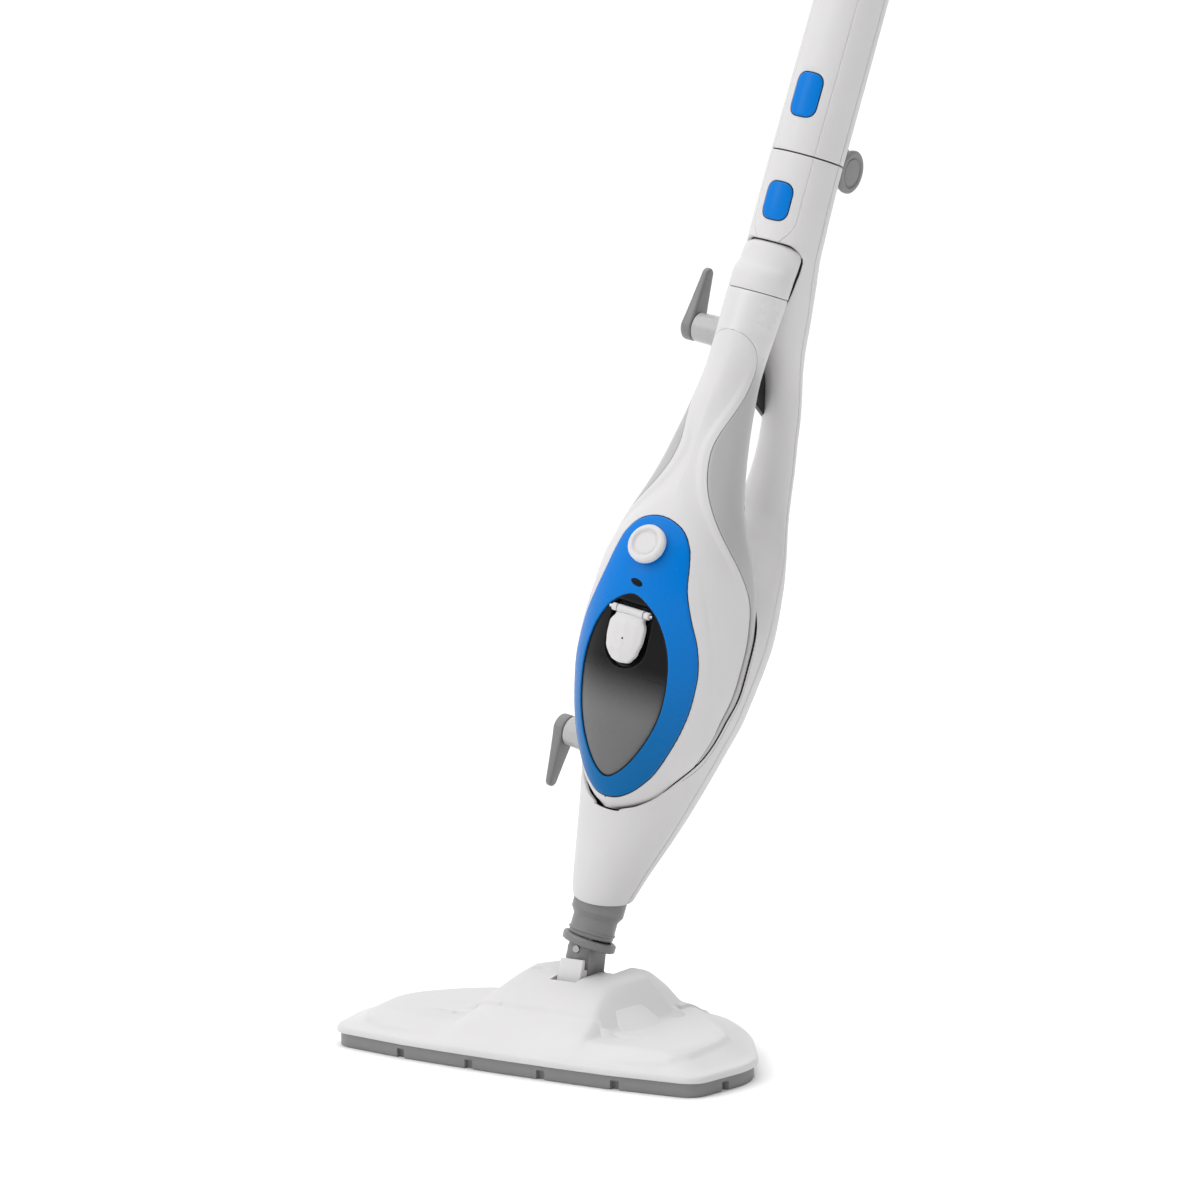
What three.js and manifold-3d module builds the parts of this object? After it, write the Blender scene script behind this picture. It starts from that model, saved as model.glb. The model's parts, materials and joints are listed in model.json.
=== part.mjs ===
// Upright steam mop: a floor head, a universal neck, a bowed frame that carries a
// lift-off handheld steamer, and an upper pole with a loop grip that folds back.
// Millimetres, +Z up. The origin is on the floor, at the middle of the head's sole.
// The body is drawn upright in its own frame, whose origin is the neck's roll pin,
// and is then rolled and pitched into its leaning rest position.

import * as THREE from 'three';
import { mergeVertices } from 'three/addons/utils/BufferGeometryUtils.js';
import Module from 'manifold-3d';

const wasm = await Module();
wasm.setup();

// ---------------------------------------------------------------- driving dimensions

const GAP = 0.3;                  // between neighbouring pieces
const WALL = 2.4;                 // moulded shells
const PITCH_BACK = THREE.MathUtils.degToRad(12.4);
const ROLL_RIGHT = THREE.MathUtils.degToRad(10.6);

const HEAD_FRONT = -82;           // plan of the floor head
const HEAD_REAR = 84;
const HEAD_HALF_WIDTH = 146;
const BASE_HEIGHT = 9;
const PITCH_AXLE = { y: 13.9, z: 38, radius: 3 };
const YOKE_HEIGHT = 23.4;         // pitch axle to roll pin
const YOKE_HALF_WIDTH = 8.5;

const NECK_RADIUS = 14.5;
const JOINT_Z = 523;              // fold joint above the roll pin
const DOCK_TOP_Z = 465;           // top end of the handheld
const DOCK_FLOOR_Z = 92;          // rim of the boot, under the handheld
const BOOT_BOTTOM_Z = 31;
const POLE_RADIUS = 23.5;
const PANEL_HALF_WIDTH = 15;      // front panel strip of the pole
const HINGE = { y: 31.5, z: JOINT_Z, radius: 14, halfWidth: 16 };
const UPPER_TUBE_LENGTH = 350;
const HOOKS = [
  { name: 'upper_hook', y: 20, z: 403, bossEnd: 56, up: true },
  { name: 'lower_hook', y: 14, z: 129, bossEnd: 64, up: false },
];

// ---------------------------------------------------------------- materials

function plastic(color, roughness) {
  return new THREE.MeshStandardMaterial({ color, roughness, metalness: 0 });
}

const WHITE = plastic(0xe9e7e5, 0.25);
const PALE_GREY = plastic(0xc9c8c8, 0.35);
const MID_GREY = plastic(0x7d7d7d, 0.45);
const BASE_GREY = plastic(0x858586, 0.5);
const BLUE = plastic(0x0b76d4, 0.2);
const BLACK = plastic(0x17181a, 0.3);
const SMOKE = plastic(0x6b6b6e, 0.15);
const RUBBER = plastic(0x2a2a2c, 0.8);
const CIRCUIT = plastic(0x1d5b34, 0.6);
const STEEL = new THREE.MeshStandardMaterial({ color: 0xb9babd, roughness: 0.3, metalness: 1 });
const BRASS = new THREE.MeshStandardMaterial({ color: 0xc2a35a, roughness: 0.35, metalness: 1 });
const ALUMINIUM = new THREE.MeshStandardMaterial({ color: 0xa9abae, roughness: 0.5, metalness: 1 });

// ---------------------------------------------------------------- solid helpers

/** A closed three.js geometry as a manifold solid, without its zero-area faces. */
function solid(geometry) {
  geometry.deleteAttribute('normal');
  geometry.deleteAttribute('uv');
  const merged = mergeVertices(geometry, 1e-4);
  const corners = merged.index.array;
  const kept = [];
  for (let i = 0; i < corners.length; i += 3) {
    const [a, b, c] = [corners[i], corners[i + 1], corners[i + 2]];
    if (a !== b && b !== c && c !== a) kept.push(a, b, c);
  }
  return new wasm.Manifold(new wasm.Mesh({
    numProp: 3,
    vertProperties: new Float32Array(merged.attributes.position.array),
    triVerts: new Uint32Array(kept),
  }));
}

/** A named mesh from a manifold solid. */
function piece(name, shape, material) {
  const result = shape.simplify(0.06).getMesh();
  const geometry = new THREE.BufferGeometry();
  geometry.setAttribute('position', new THREE.BufferAttribute(result.vertProperties, 3));
  geometry.setIndex(new THREE.BufferAttribute(result.triVerts, 1));
  geometry.computeVertexNormals();
  const mesh = new THREE.Mesh(geometry, material);
  mesh.name = name;
  return mesh;
}

function box(x0, x1, y0, y1, z0, z1) {
  const geometry = new THREE.BoxGeometry(x1 - x0, y1 - y0, z1 - z0);
  geometry.translate((x0 + x1) / 2, (y0 + y1) / 2, (z0 + z1) / 2);
  return solid(geometry);
}

/** A cylinder or cone between two points. */
function rod(from, to, radius, endRadius = radius, sides = 24) {
  const start = new THREE.Vector3(...from);
  const direction = new THREE.Vector3(...to).sub(start);
  const length = direction.length();
  const geometry = new THREE.CylinderGeometry(endRadius, radius, length, sides);
  geometry.translate(0, length / 2, 0);
  geometry.applyQuaternion(new THREE.Quaternion().setFromUnitVectors(
    new THREE.Vector3(0, 1, 0), direction.normalize()));
  geometry.translate(start.x, start.y, start.z);
  return solid(geometry);
}

/** A tube between two points. */
function pipe(from, to, outer, inner, sides = 24) {
  const a = new THREE.Vector3(...from);
  const b = new THREE.Vector3(...to);
  const past = b.clone().sub(a).setLength(1);
  const hole = rod(a.clone().sub(past).toArray(), b.clone().add(past).toArray(), inner, inner, sides);
  return rod(from, to, outer, outer, sides).subtract(hole);
}

/** A body joining rings of points from the lowest to the highest. */
function skin(rings) {
  const sides = rings[0].length;
  const positions = [];
  const index = [];
  for (const ring of rings) {
    for (const p of ring) positions.push(p.x, p.y, p.z);
  }
  for (let i = 0; i + 1 < rings.length; i += 1) {
    for (let j = 0; j < sides; j += 1) {
      const k = (j + 1) % sides;
      const [a, b] = [i * sides + j, i * sides + k];
      const [c, d] = [b + sides, a + sides];
      index.push(a, b, c, a, c, d);
    }
  }
  const addCap = (first, flip) => {
    const centre = new THREE.Vector3();
    for (let j = 0; j < sides; j += 1) {
      centre.x += positions[3 * (first + j)] / sides;
      centre.y += positions[3 * (first + j) + 1] / sides;
      centre.z += positions[3 * (first + j) + 2] / sides;
    }
    const middle = positions.length / 3;
    positions.push(centre.x, centre.y, centre.z);
    for (let j = 0; j < sides; j += 1) {
      const k = (j + 1) % sides;
      if (flip) index.push(first + k, first + j, middle);
      else index.push(first + j, first + k, middle);
    }
  };
  addCap(0, true);
  addCap((rings.length - 1) * sides, false);
  const geometry = new THREE.BufferGeometry();
  geometry.setAttribute('position', new THREE.Float32BufferAttribute(positions, 3));
  geometry.setIndex(index);
  return solid(geometry);
}

/** A closed outline in x and z, extruded from y0 to y1. */
function slab(points, y0, y1) {
  const shape = new THREE.Shape(points.map(([x, z]) => new THREE.Vector2(x, z)));
  const geometry = new THREE.ExtrudeGeometry(shape, { depth: y1 - y0, bevelEnabled: false });
  geometry.rotateX(Math.PI / 2);
  geometry.translate(0, y1, 0);
  return solid(geometry);
}

/** A closed outline in y and z, extruded over x from -half to half. */
function profileSlab(points, half) {
  const shape = new THREE.Shape(points.map(([y, z]) => new THREE.Vector2(y, z)));
  const geometry = new THREE.ExtrudeGeometry(shape, { depth: 2 * half, bevelEnabled: false });
  geometry.rotateX(Math.PI / 2);
  geometry.rotateZ(Math.PI / 2);
  geometry.translate(-half, 0, 0);
  return solid(geometry);
}

/** A closed outline in x and y, extruded over z. */
function plate(points, z0, z1) {
  const shape = new THREE.Shape(points.map(([x, y]) => new THREE.Vector2(x, y)));
  const geometry = new THREE.ExtrudeGeometry(shape, { depth: z1 - z0, bevelEnabled: false });
  geometry.translate(0, 0, z0);
  return solid(geometry);
}

/** A smooth curve through hand-placed stations [z, value, value, ...], without overshoot. */
function smooth(stations) {
  const count = stations[0].length - 1;
  const slopes = stations.map((here, i) => Array.from({ length: count }, (_, k) => {
    if (i === 0 || i === stations.length - 1) return 0;
    const [before, after] = [stations[i - 1], stations[i + 1]];
    const left = (here[k + 1] - before[k + 1]) / (here[0] - before[0]);
    const right = (after[k + 1] - here[k + 1]) / (after[0] - here[0]);
    return left * right <= 0 ? 0 : (2 * left * right) / (left + right);
  }));
  return (z) => {
    let i = 0;
    while (i < stations.length - 2 && z > stations[i + 1][0]) i += 1;
    const [a, b] = [stations[i], stations[i + 1]];
    const span = b[0] - a[0];
    const t = THREE.MathUtils.clamp((z - a[0]) / span, 0, 1);
    const [h, g] = [t * t * (3 - 2 * t), t * (1 - t)];
    return Array.from({ length: count }, (_, k) => a[k + 1] * (1 - h) + b[k + 1] * h
      + span * g * ((1 - t) * slopes[i][k] - t * slopes[i + 1][k]));
  };
}

/** One egg-shaped ring: half width, the widest point's y, front depth and rear depth. */
function ring([half, mid, front, rear], z, grow, sides) {
  return Array.from({ length: sides }, (_, j) => {
    const angle = (2 * Math.PI * j) / sides;
    const depth = Math.sin(angle) < 0 ? mid - front : rear - mid;
    return new THREE.Vector3(
      Math.max(half + grow, 0.5) * Math.cos(angle),
      mid + Math.max(depth + grow, 0.5) * Math.sin(angle),
      z,
    );
  });
}

/** A lofted body through the given heights. */
function loft(section, heights, grow = 0, sides = 24) {
  return skin(heights.map((z) => ring(section(z), z, grow, sides)));
}

function heightsBetween(low, high, steps) {
  return Array.from({ length: steps + 1 }, (_, i) => low + ((high - low) * i) / steps);
}

/** A closed outline symmetric about x = 0, from its right side listed bottom to top. */
function mirrored(rightSide) {
  return [...rightSide, ...rightSide.slice().reverse().map(([x, z]) => [-x, z])];
}

// ---------------------------------------------------------------- body sections

// height, half width, y of the widest point, front y, rear y
const handheldSection = smooth([
  [93, 9, -3, -23.5, 3],
  [98, 18, -3, -28, 9.5],
  [106, 27, -3, -33, 15.5],
  [119, 35, -3, -39, 20],
  [139, 45, -3, -46, 24],
  [163, 52.5, -3, -52, 26],
  [187, 57, -3, -57, 26.5],
  [211, 57.5, -4, -60, 25],
  [238, 54.5, -7, -62, 21],
  [261, 48.5, -11, -60, 15],
  [284, 39.5, -18, -52, 9],
  [301, 33, -20, -46, 4],
  [322, 27.5, -20, -41, 1.5],
  [360, 20.5, -18, -37, 0],
  [381, 18.5, -17, -34.5, 0],
  [432, 20.5, -14, -30, 1.5],
  [444, 20.8, -13.3, -29, 1.7],
  [452, 20.3, -10, -24, 2],
  [DOCK_TOP_Z, 20.8, -9, -22.3, 2],
]);

const frameSection = smooth([
  [BOOT_BOTTOM_Z, 18, 0, -18, 18],
  [36, 19.5, 0, -19.5, 19.5],
  [56, 24.5, 2, -23, 27],
  [83, 32, 6, -25, 38],
  [107, 38.5, 8, -27, 46],
  [145, 49, 9, -32, 52],
  [171, 55.5, 9, -36, 55],
  [213, 59, 11, -36, 60],
  [249, 46, 32, -4, 71],
  [283, 25, 62, 45, 80],
  [301, 18, 67, 53, 82],
  [322, 15, 66, 52.5, 80],
  [355, 12.5, 59, 46, 73],
  [378, 12.5, 50, 36, 64],
  [390, 13.5, 42, 27, 57],
  [405, 16, 31, 12, 50],
  [425, 20, 20, -2, 41],
  [447, 23, 8, -16, 33],
  [466, 24, 2, -22, 27],
  [JOINT_Z, POLE_RADIUS, 0, -POLE_RADIUS, POLE_RADIUS],
]);

// half width of the rear cover along the frame
const rearCoverHalfWidth = smooth([
  [40, 6], [107, 26], [171, 40], [213, 42], [249, 32], [283, 16], [322, 5],
  [390, 5], [466, 8], [JOINT_Z, 9.5],
]);

// right half of the bezel's outer outline and of its window
const bezelHalfWidth = smooth([
  [96, 0], [103, 11], [116, 23], [128, 31], [142, 37.5], [166, 43.5], [190, 45],
  [212, 41], [228, 34], [245, 28], [262, 25.5], [273, 21], [281, 0],
]);
const windowHalfWidth = smooth([
  [109, 0], [113, 7], [126, 17], [140, 24.5], [158, 29.5], [178, 31.5], [196, 29.5],
  [212, 23.5], [224, 14], [230, 0],
]);

function outlineOf(halfWidth, heights, grow = 0) {
  return mirrored(heights.map((z) => [Math.max(halfWidth(z)[0] + grow, 0.3), z]));
}

const BEZEL_HEIGHTS = [96.4, 99, 103, 109, 116, 128, 142, 166, 190, 212, 228, 245, 262, 273, 278, 280.6];
const WINDOW_HEIGHTS = [109.2, 113, 119, 126, 140, 158, 178, 196, 212, 219, 225, 229.8];

// ---------------------------------------------------------------- floor head

/** Right half of the plan from the front middle to the rear middle, as arcs at its corners. */
const HEAD_CORNERS = [
  { x: 134.5, y: -74, r: 20 },
  { x: HEAD_HALF_WIDTH, y: -14, r: 30 },
  { x: 104, y: 50, r: 40 },
  { x: 62, y: HEAD_REAR, r: 30 },
];

/** Plan outline of the head, counterclockwise, moved in by inset. */
function headPlan(inset) {
  const corners = [
    new THREE.Vector2(0, HEAD_FRONT),
    ...HEAD_CORNERS.map(({ x, y }) => new THREE.Vector2(x, y)),
    new THREE.Vector2(0, HEAD_REAR),
  ];
  const right = [new THREE.Vector2(0, HEAD_FRONT), new THREE.Vector2(75, HEAD_FRONT + 1.8)];
  HEAD_CORNERS.forEach(({ r }, i) => {
    const here = corners[i + 1];
    const toBefore = corners[i].clone().sub(here).setLength(r * 0.7);
    const toAfter = corners[i + 2].clone().sub(here).setLength(r * 0.7);
    const bend = new THREE.QuadraticBezierCurve(
      here.clone().add(toBefore), here, here.clone().add(toAfter));
    right.push(...bend.getPoints(3));
  });
  const left = right.slice(1).reverse().map((p) => new THREE.Vector2(-p.x, p.y));
  const outline = [...right, new THREE.Vector2(0, HEAD_REAR), ...left];
  return outline.map((p, i) => {
    const before = outline[(i + outline.length - 1) % outline.length];
    const after = outline[(i + 1) % outline.length];
    const along = after.clone().sub(before).normalize();
    return [p.x - along.y * inset, p.y + along.x * inset];
  });
}

/** Height of the head's upper surface: a rim, wings, and a central hump. */
function headHeight(x, y, edgeDistance) {
  const rise = THREE.MathUtils.smoothstep(edgeDistance, 0, 30);
  const wings = 14.5 + 9.5 * rise;
  const halfWidth = THREE.MathUtils.mapLinear(y, -52, 24, 50, 65);
  const flank = THREE.MathUtils.clamp((Math.abs(x) - halfWidth + 26) / 26, 0, 1);
  const across = 1 - flank ** 2.2;
  const fromFront = THREE.MathUtils.smoothstep(y, -74, 0);
  const fromRear = 1 - THREE.MathUtils.smoothstep(y, 40, 80);
  return wings + 22.5 * across * fromFront * fromRear;
}

/** Closed solid under the head's upper surface, from z0 up. */
function headShape(inset, drop, z0) {
  const outer = headPlan(inset);
  const steps = [0, 0.05, 0.12, 0.21, 0.32, 0.44, 0.56, 0.68, 0.8, 0.9];
  const focus = { x: 0, y: 8 };
  const rings = [outer.map(([x, y]) => new THREE.Vector3(x, y, z0))];
  for (const step of steps) {
    rings.push(outer.map(([x, y]) => {
      const px = x + (focus.x - x) * step;
      const py = y + (focus.y - y) * step;
      const distance = Math.hypot(px - x, py - y);
      return new THREE.Vector3(px, py, headHeight(px, py, distance) - drop);
    }));
  }
  return skin(rings);
}

const HEAD_SCREWS = [[-118, -30], [118, -30], [-52, 62], [52, 62]];

/** The cover: a shell with a slot for the yoke and a saddle behind it for the neck. */
function makeHeadCover() {
  const { y, z } = PITCH_AXLE;
  const hollow = headShape(WALL, WALL, -5);
  const slot = box(-YOKE_HALF_WIDTH - 1, YOKE_HALF_WIDTH + 1, y - 24, y + 22, 20, 70);
  const saddle = profileSlab([[y + 6, z + 2], [y + 80, 22], [y + 80, 80], [y + 6, 80]], 19.5);
  return headShape(0, 0, BASE_HEIGHT + GAP).subtract(hollow).subtract(slot).subtract(saddle);
}

/** The base plate: a flat sole with notches along its edges, and towers that hold the axle. */
function makeBasePlate() {
  const { y, z, radius } = PITCH_AXLE;
  let base = plate(headPlan(2.5), 0, BASE_HEIGHT).subtract(plate(headPlan(9), 4, BASE_HEIGHT + 1));
  for (const side of [-1, 1]) {
    const tower = box(side * 17 - 4, side * 17 + 4, y - 9, y + 9, 3, z + 1);
    base = base.add(tower);
  }
  for (const [screwX, screwY] of HEAD_SCREWS) {
    base = base
      .add(rod([screwX, screwY, 3], [screwX, screwY, 13], 5, 5, 16))
      .subtract(rod([screwX, screwY, -1], [screwX, screwY, 11], 1.8, 1.8, 12))
      .subtract(rod([screwX, screwY, -1], [screwX, screwY, 2.4], 3.6, 3.6, 16));
  }
  for (const x of [-79, -26.5, 26.5, 79]) {
    const edgeY = HEAD_FRONT + 8 * (x / 134.5) ** 2 + 2.5;
    base = base.subtract(box(x - 3, x + 3, edgeY - 4, edgeY + 3, -1, BASE_HEIGHT - 3));
  }
  for (const side of [-1, 1]) {
    const x = side * (HEAD_HALF_WIDTH - 7);
    base = base.subtract(box(x - 5, x + 5, -46, -40, -1, BASE_HEIGHT - 3));
  }
  return base
    .subtract(rod([-30, y, z], [30, y, z], radius + 0.15))
    .intersect(headShape(WALL + GAP, WALL + GAP, -5));
}

function makeHead() {
  const group = new THREE.Group();
  const { y, z, radius } = PITCH_AXLE;
  group.add(piece('head_cover', makeHeadCover(), WHITE));
  group.add(piece('base_plate', makeBasePlate(), BASE_GREY));
  group.add(piece('pitch_axle', rod([-22, y, z], [22, y, z], radius), STEEL));

  // the steam spreader lies in the base plate's tray, with its inlet
  const spreader = box(-60, 60, -50, -12, 4 + GAP, 8.5)
    .subtract(box(-56, 56, -46, -16, 6, 10))
    .add(rod([0, -30, 6], [0, -30, 16], 5, 5, 16))
    .subtract(rod([0, -30, 5.2], [0, -30, 20], 3, 3, 16));
  group.add(piece('steam_spreader', spreader, BRASS));

  HEAD_SCREWS.forEach(([screwX, screwY], i) => {
    const screw = rod([screwX, screwY, 0.6], [screwX, screwY, 2.1], 3.2, 3.2, 16)
      .add(rod([screwX, screwY, 1.5], [screwX, screwY, 10.6], 1.5, 1.5, 12));
    group.add(piece(`head_screw_${i + 1}`, screw, STEEL));
  });
  return group;
}

// ---------------------------------------------------------------- yoke and neck

const TONGUE_HALF_DEPTH = 10;

/** The yoke: it turns on the pitch axle, holds the roll pin in a tongue, and has an apron in front. */
function makeYoke() {
  const group = new THREE.Group();
  const top = YOKE_HEIGHT;
  const shoulder = top - 12.5;
  const side = profileSlab([
    [-4, -7], [6, -7], [19, -3], [19, shoulder - 3], [TONGUE_HALF_DEPTH, shoulder],
    [TONGUE_HALF_DEPTH, top + 10], [-TONGUE_HALF_DEPTH, top + 10], [-TONGUE_HALF_DEPTH, shoulder],
    [-14.2, shoulder], [-14.2, 17], [-16.8, 17], [-19.5, 2], [-20, -5],
  ], YOKE_HALF_WIDTH);
  const rounded = rod([0, -30, top], [0, 30, top], YOKE_HALF_WIDTH, YOKE_HALF_WIDTH, 32)
    .add(box(-20, 20, -30, 30, -20, top));
  const yoke = side
    .intersect(rounded)
    .subtract(rod([-20, 0, 0], [20, 0, 0], PITCH_AXLE.radius + 0.15))
    .subtract(rod([0, -30, top], [0, 30, top], 2.65));
  const front = box(-20, 20, -40, -TONGUE_HALF_DEPTH - 0.5, -20, 60);
  const rear = box(-20, 20, -TONGUE_HALF_DEPTH - 0.5 + GAP, 40, -20, 60);
  group.add(piece('yoke', yoke.intersect(rear), MID_GREY));
  group.add(piece('yoke_apron', yoke.intersect(front), WHITE));
  group.add(piece('roll_pin', rod([0, -13.8, top], [0, 13.8, top], 2.5), STEEL));
  return group;
}

function makeNeck() {
  const group = new THREE.Group();

  // lower neck: a barrel with a cheek in front of the tongue and one behind it
  const lower = rod([0, 0, -8], [0, 0, 26], 13, 13.4, 32)
    .subtract(box(-20, 20, -TONGUE_HALF_DEPTH - GAP, TONGUE_HALF_DEPTH + GAP, -20, 9))
    .subtract(rod([0, -20, 0], [0, 20, 0], 2.65))
    .subtract(rod([0, 0, 6], [0, 0, 30], 5));
  group.add(piece('lower_neck', lower, MID_GREY));
  group.add(piece('neck_collar', pipe([0, 0, 3.4], [0, 0, 8.6], 17.6, 13.7, 32), MID_GREY));

  // neck tube: a sleeve with a flare under the boot and a plug inside it
  const flare = rod([0, 0, 22], [0, 0, 26], NECK_RADIUS, 17, 32)
    .add(rod([0, 0, 26], [0, 0, 50], 17, 17, 32))
    .subtract(besideBootRim(true, -0.4));
  const sleeve = rod([0, 0, 8.9], [0, 0, 32], NECK_RADIUS, NECK_RADIUS, 32)
    .add(flare)
    .add(rod([0, 0, 30], [0, 0, 46], 15.4, 15.4, 32))
    .subtract(rod([0, 0, 0], [0, 0, 50], 13.7, 13.7, 32));
  group.add(piece('neck_tube', sleeve, MID_GREY));
  group.add(piece('steam_tube', pipe([0, 0, 27], [0, 0, 78], 4.5, 3, 16), RUBBER));
  return group;
}

// ---------------------------------------------------------------- frame

const HANDHELD_HEIGHTS = [93, 98, 106, 119, 139, 163, 187, 211, 225, 238, 250, 261, 272, 284,
  301, 322, 340, 360, 381, 405];
const END_CAP_Z = 432;

/** The room that the handheld needs: its own shape, swept straight forward. */
function handheldRoom(grow) {
  const heights = [...HANDHELD_HEIGHTS, END_CAP_Z, DOCK_TOP_Z];
  const last = heights.length - 1;
  const lifted = heights.map((z, i) => z + (i === 0 ? -grow : 0) + (i === last ? grow : 0));
  const halfWidths = heights.map((z) => handheldSection(z)[0] + grow);
  const egg = skin(heights.map((z, i) => ring(handheldSection(z), lifted[i], grow, 24)));
  const swept = slab(mirrored(lifted.map((z, i) => [halfWidths[i], z])), -200, -10);
  const sweptBelly = slab(mirrored(lifted.slice(0, 10).map((z, i) => [halfWidths[i], z])), -30, -3);
  return egg.add(swept).add(sweptBelly);
}

const FRAME_HEIGHTS = [BOOT_BOTTOM_Z - 4, 36, 56, 83, 107, 145, 171, 192, 213, 231, 249, 266,
  283, 301, 322, 355, 378, 390, 405, 425, 447, 466, JOINT_Z - GAP / 2];

function rearCoverOutline(grow) {
  const heights = [44, 70, 107, 140, 171, 213, 249, 266, 283, 301, 322, 390, 440, 466, JOINT_Z + 1];
  return mirrored(heights.map((z) => [rearCoverHalfWidth(z)[0] + grow, z]));
}

const FRAME_KNUCKLES = [[-6, 6]];
const UPPER_KNUCKLES = [[-13, -6.4], [6.4, 13]];
const HINGE_CAPS = [[-17, -13.3], [13.3, 17]];

/** The hinge's leaf on one side of the joint line: knuckles joined to the tube by webs. */
function hingeLeaf(ranges, side) {
  const { y, z, radius } = HINGE;
  const low = Math.min(side * 2, side * 14);
  return ranges
    .map(([x0, x1]) => rod([x0, y, z], [x1, y, z], radius - 1.5, radius - 1.5, 28)
      .add(box(x0, x1, POLE_RADIUS - 7, y, z + low, z + low + 12)))
    .reduce((all, leaf) => all.add(leaf));
}

/** The room that coaxial pieces of the hinge turn in. */
function hingeRoom(ranges, radius) {
  const { y, z } = HINGE;
  return ranges
    .map(([x0, x1]) => rod([x0 - GAP, y, z], [x1 + GAP, y, z], radius + GAP, radius + GAP, 28))
    .reduce((all, room) => all.add(room));
}

/** All that lies below the boot's slanted rim, or above it. */
function besideBootRim(above, shift) {
  const [front, rear] = [-60, 60].map((y) => [y, BOOT_BOTTOM_Z + 4.6 + 0.263 * y + shift]);
  return profileSlab([front, rear, [60, above ? 120 : -60], [-60, above ? 120 : -60]], 60);
}

/** The tube walls of the frame, hollow behind the dock that holds the handheld. */
function frameWalls() {
  const outer = loft(frameSection, FRAME_HEIGHTS);
  const inner = loft(frameSection, [BOOT_BOTTOM_Z - 1, ...FRAME_HEIGHTS.slice(1, -1), JOINT_Z + 1], -WALL);
  return outer
    .subtract(inner.subtract(handheldRoom(WALL + 0.5)))
    .subtract(handheldRoom(0.5))
    .subtract(box(-60, 60, -60, -12, 380, DOCK_TOP_Z + 0.4))
    .subtract(besideBootRim(false, 0))
    .subtract(rod([0, 0, 20], [0, 0, 46 + GAP], 15.4 + GAP, 15.4 + GAP, 32))
    .subtract(rod([0, -3, 78], [0, -3, DOCK_FLOOR_Z + 4], 11, 11, 24))
    .subtract(hingeRoom(UPPER_KNUCKLES, HINGE.radius - 1.5))
    .subtract(hingeRoom(HINGE_CAPS, HINGE.radius));
}

const COVER_SCREWS = [64, 150, 232];

function makeFrame() {
  const group = new THREE.Group();
  const walls = frameWalls();
  const mainShell = walls
    .subtract(slab(rearCoverOutline(GAP), 14 - GAP, 120))
    .subtract(panelRegion(-1, GAP));
  group.add(piece('frame_shell', largest(mainShell), WHITE));

  // the rear cover runs up the back and carries the frame's half of the hinge
  let rearCover = largest(walls.intersect(slab(rearCoverOutline(0), 14, 120)))
    .add(hingeLeaf(FRAME_KNUCKLES, -1))
    .subtract(rod([-40, HINGE.y, HINGE.z], [40, HINGE.y, HINGE.z], 3.15));
  COVER_SCREWS.forEach((z, i) => {
    const back = frameSection(z)[3];
    rearCover = rearCover
      .subtract(rod([0, back - 12, z], [0, back + 5, z], 1.9, 1.9, 12))
      .subtract(rod([0, back - 1.2, z], [0, back + 5, z], 3.8, 3.8, 16));
    const screw = rod([0, back - 11, z], [0, back - 0.8, z], 1.6, 1.6, 12)
      .add(rod([0, back - 0.9, z], [0, back - 0.1, z], 3.4, 3.4, 16));
    group.add(piece(`cover_screw_${i + 1}`, screw, STEEL));
  });
  group.add(piece('rear_cover', largest(rearCover), WHITE));

  const panel = walls.intersect(panelRegion(-1, 0)).subtract(buttonRoom(-1));
  group.add(piece('front_panel', largest(panel), WHITE));
  group.add(piece('lower_latch_bar', box(-18.6, 18.6, -8, -4, 479, 503), PALE_GREY));
  group.add(piece('hinge_pin', rod([-14, HINGE.y, HINGE.z], [14, HINGE.y, HINGE.z], 3, 3, 20), STEEL));

  // the ring under the handheld's outlet
  group.add(piece('dock_seal', pipe([0, -3, 78 + GAP], [0, -3, 92.2], 10.7, 5, 24), RUBBER));

  // the dark web that closes the top of the hand gap, on its left side
  const { y: hookY, z: hookZ } = HOOKS[0];
  const web = profileSlab([[0.5, 430], [0.5, 378], [60, 354.5], [60, 372], [20, 430]], 2.25)
    .translate([-9.25, 0, 0])
    .subtract(rod([-4, hookY, hookZ], [-60, hookY, hookZ], 10.5 + GAP, 10.5 + GAP, 28))
    .subtract(loft(frameSection, [340, 355, 378, 390, 405, 415, 425, 447], GAP))
    .subtract(handheldRoom(0.5));
  group.add(piece('dock_web', largest(web), BLACK));
  return group;
}

/** The front panel's strip of the pole: side -1 is below the joint line, 1 is above it. */
function panelRegion(side, grow) {
  const near = JOINT_Z + side * (GAP / 2 - 2 * grow - 1);
  const far = JOINT_Z + side * (side < 0 ? JOINT_Z - DOCK_TOP_Z - 1 : 120) + side * grow;
  const shoulder = far - side * 15;
  const half = PANEL_HALF_WIDTH + grow;
  const points = [[half - 7, far], [half, shoulder], [half, near]];
  return slab(mirrored(side < 0 ? points : points.reverse()), -60, -8);
}

const BUTTONS = {
  '-1': { z: JOINT_Z - 32, height: 24 },
  1: { z: JOINT_Z + 37, height: 28 },
};

function buttonRoom(side) {
  const { z, height } = BUTTONS[side];
  return roundedBlock(0, z, 18 + 2 * GAP, height + 2 * GAP, 8, -60, -5);
}

/** A release button whose face follows the pole and stands a little proud. */
function releaseButton(name, side) {
  const { z, height } = BUTTONS[side];
  const face = rod([0, 0, z - 30], [0, 0, z + 30], POLE_RADIUS + 1.2, POLE_RADIUS + 1.2, 64);
  const cap = roundedBlock(0, z, 18, height, 8, -40, -14).intersect(face);
  return piece(name, cap, BLUE);
}

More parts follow.
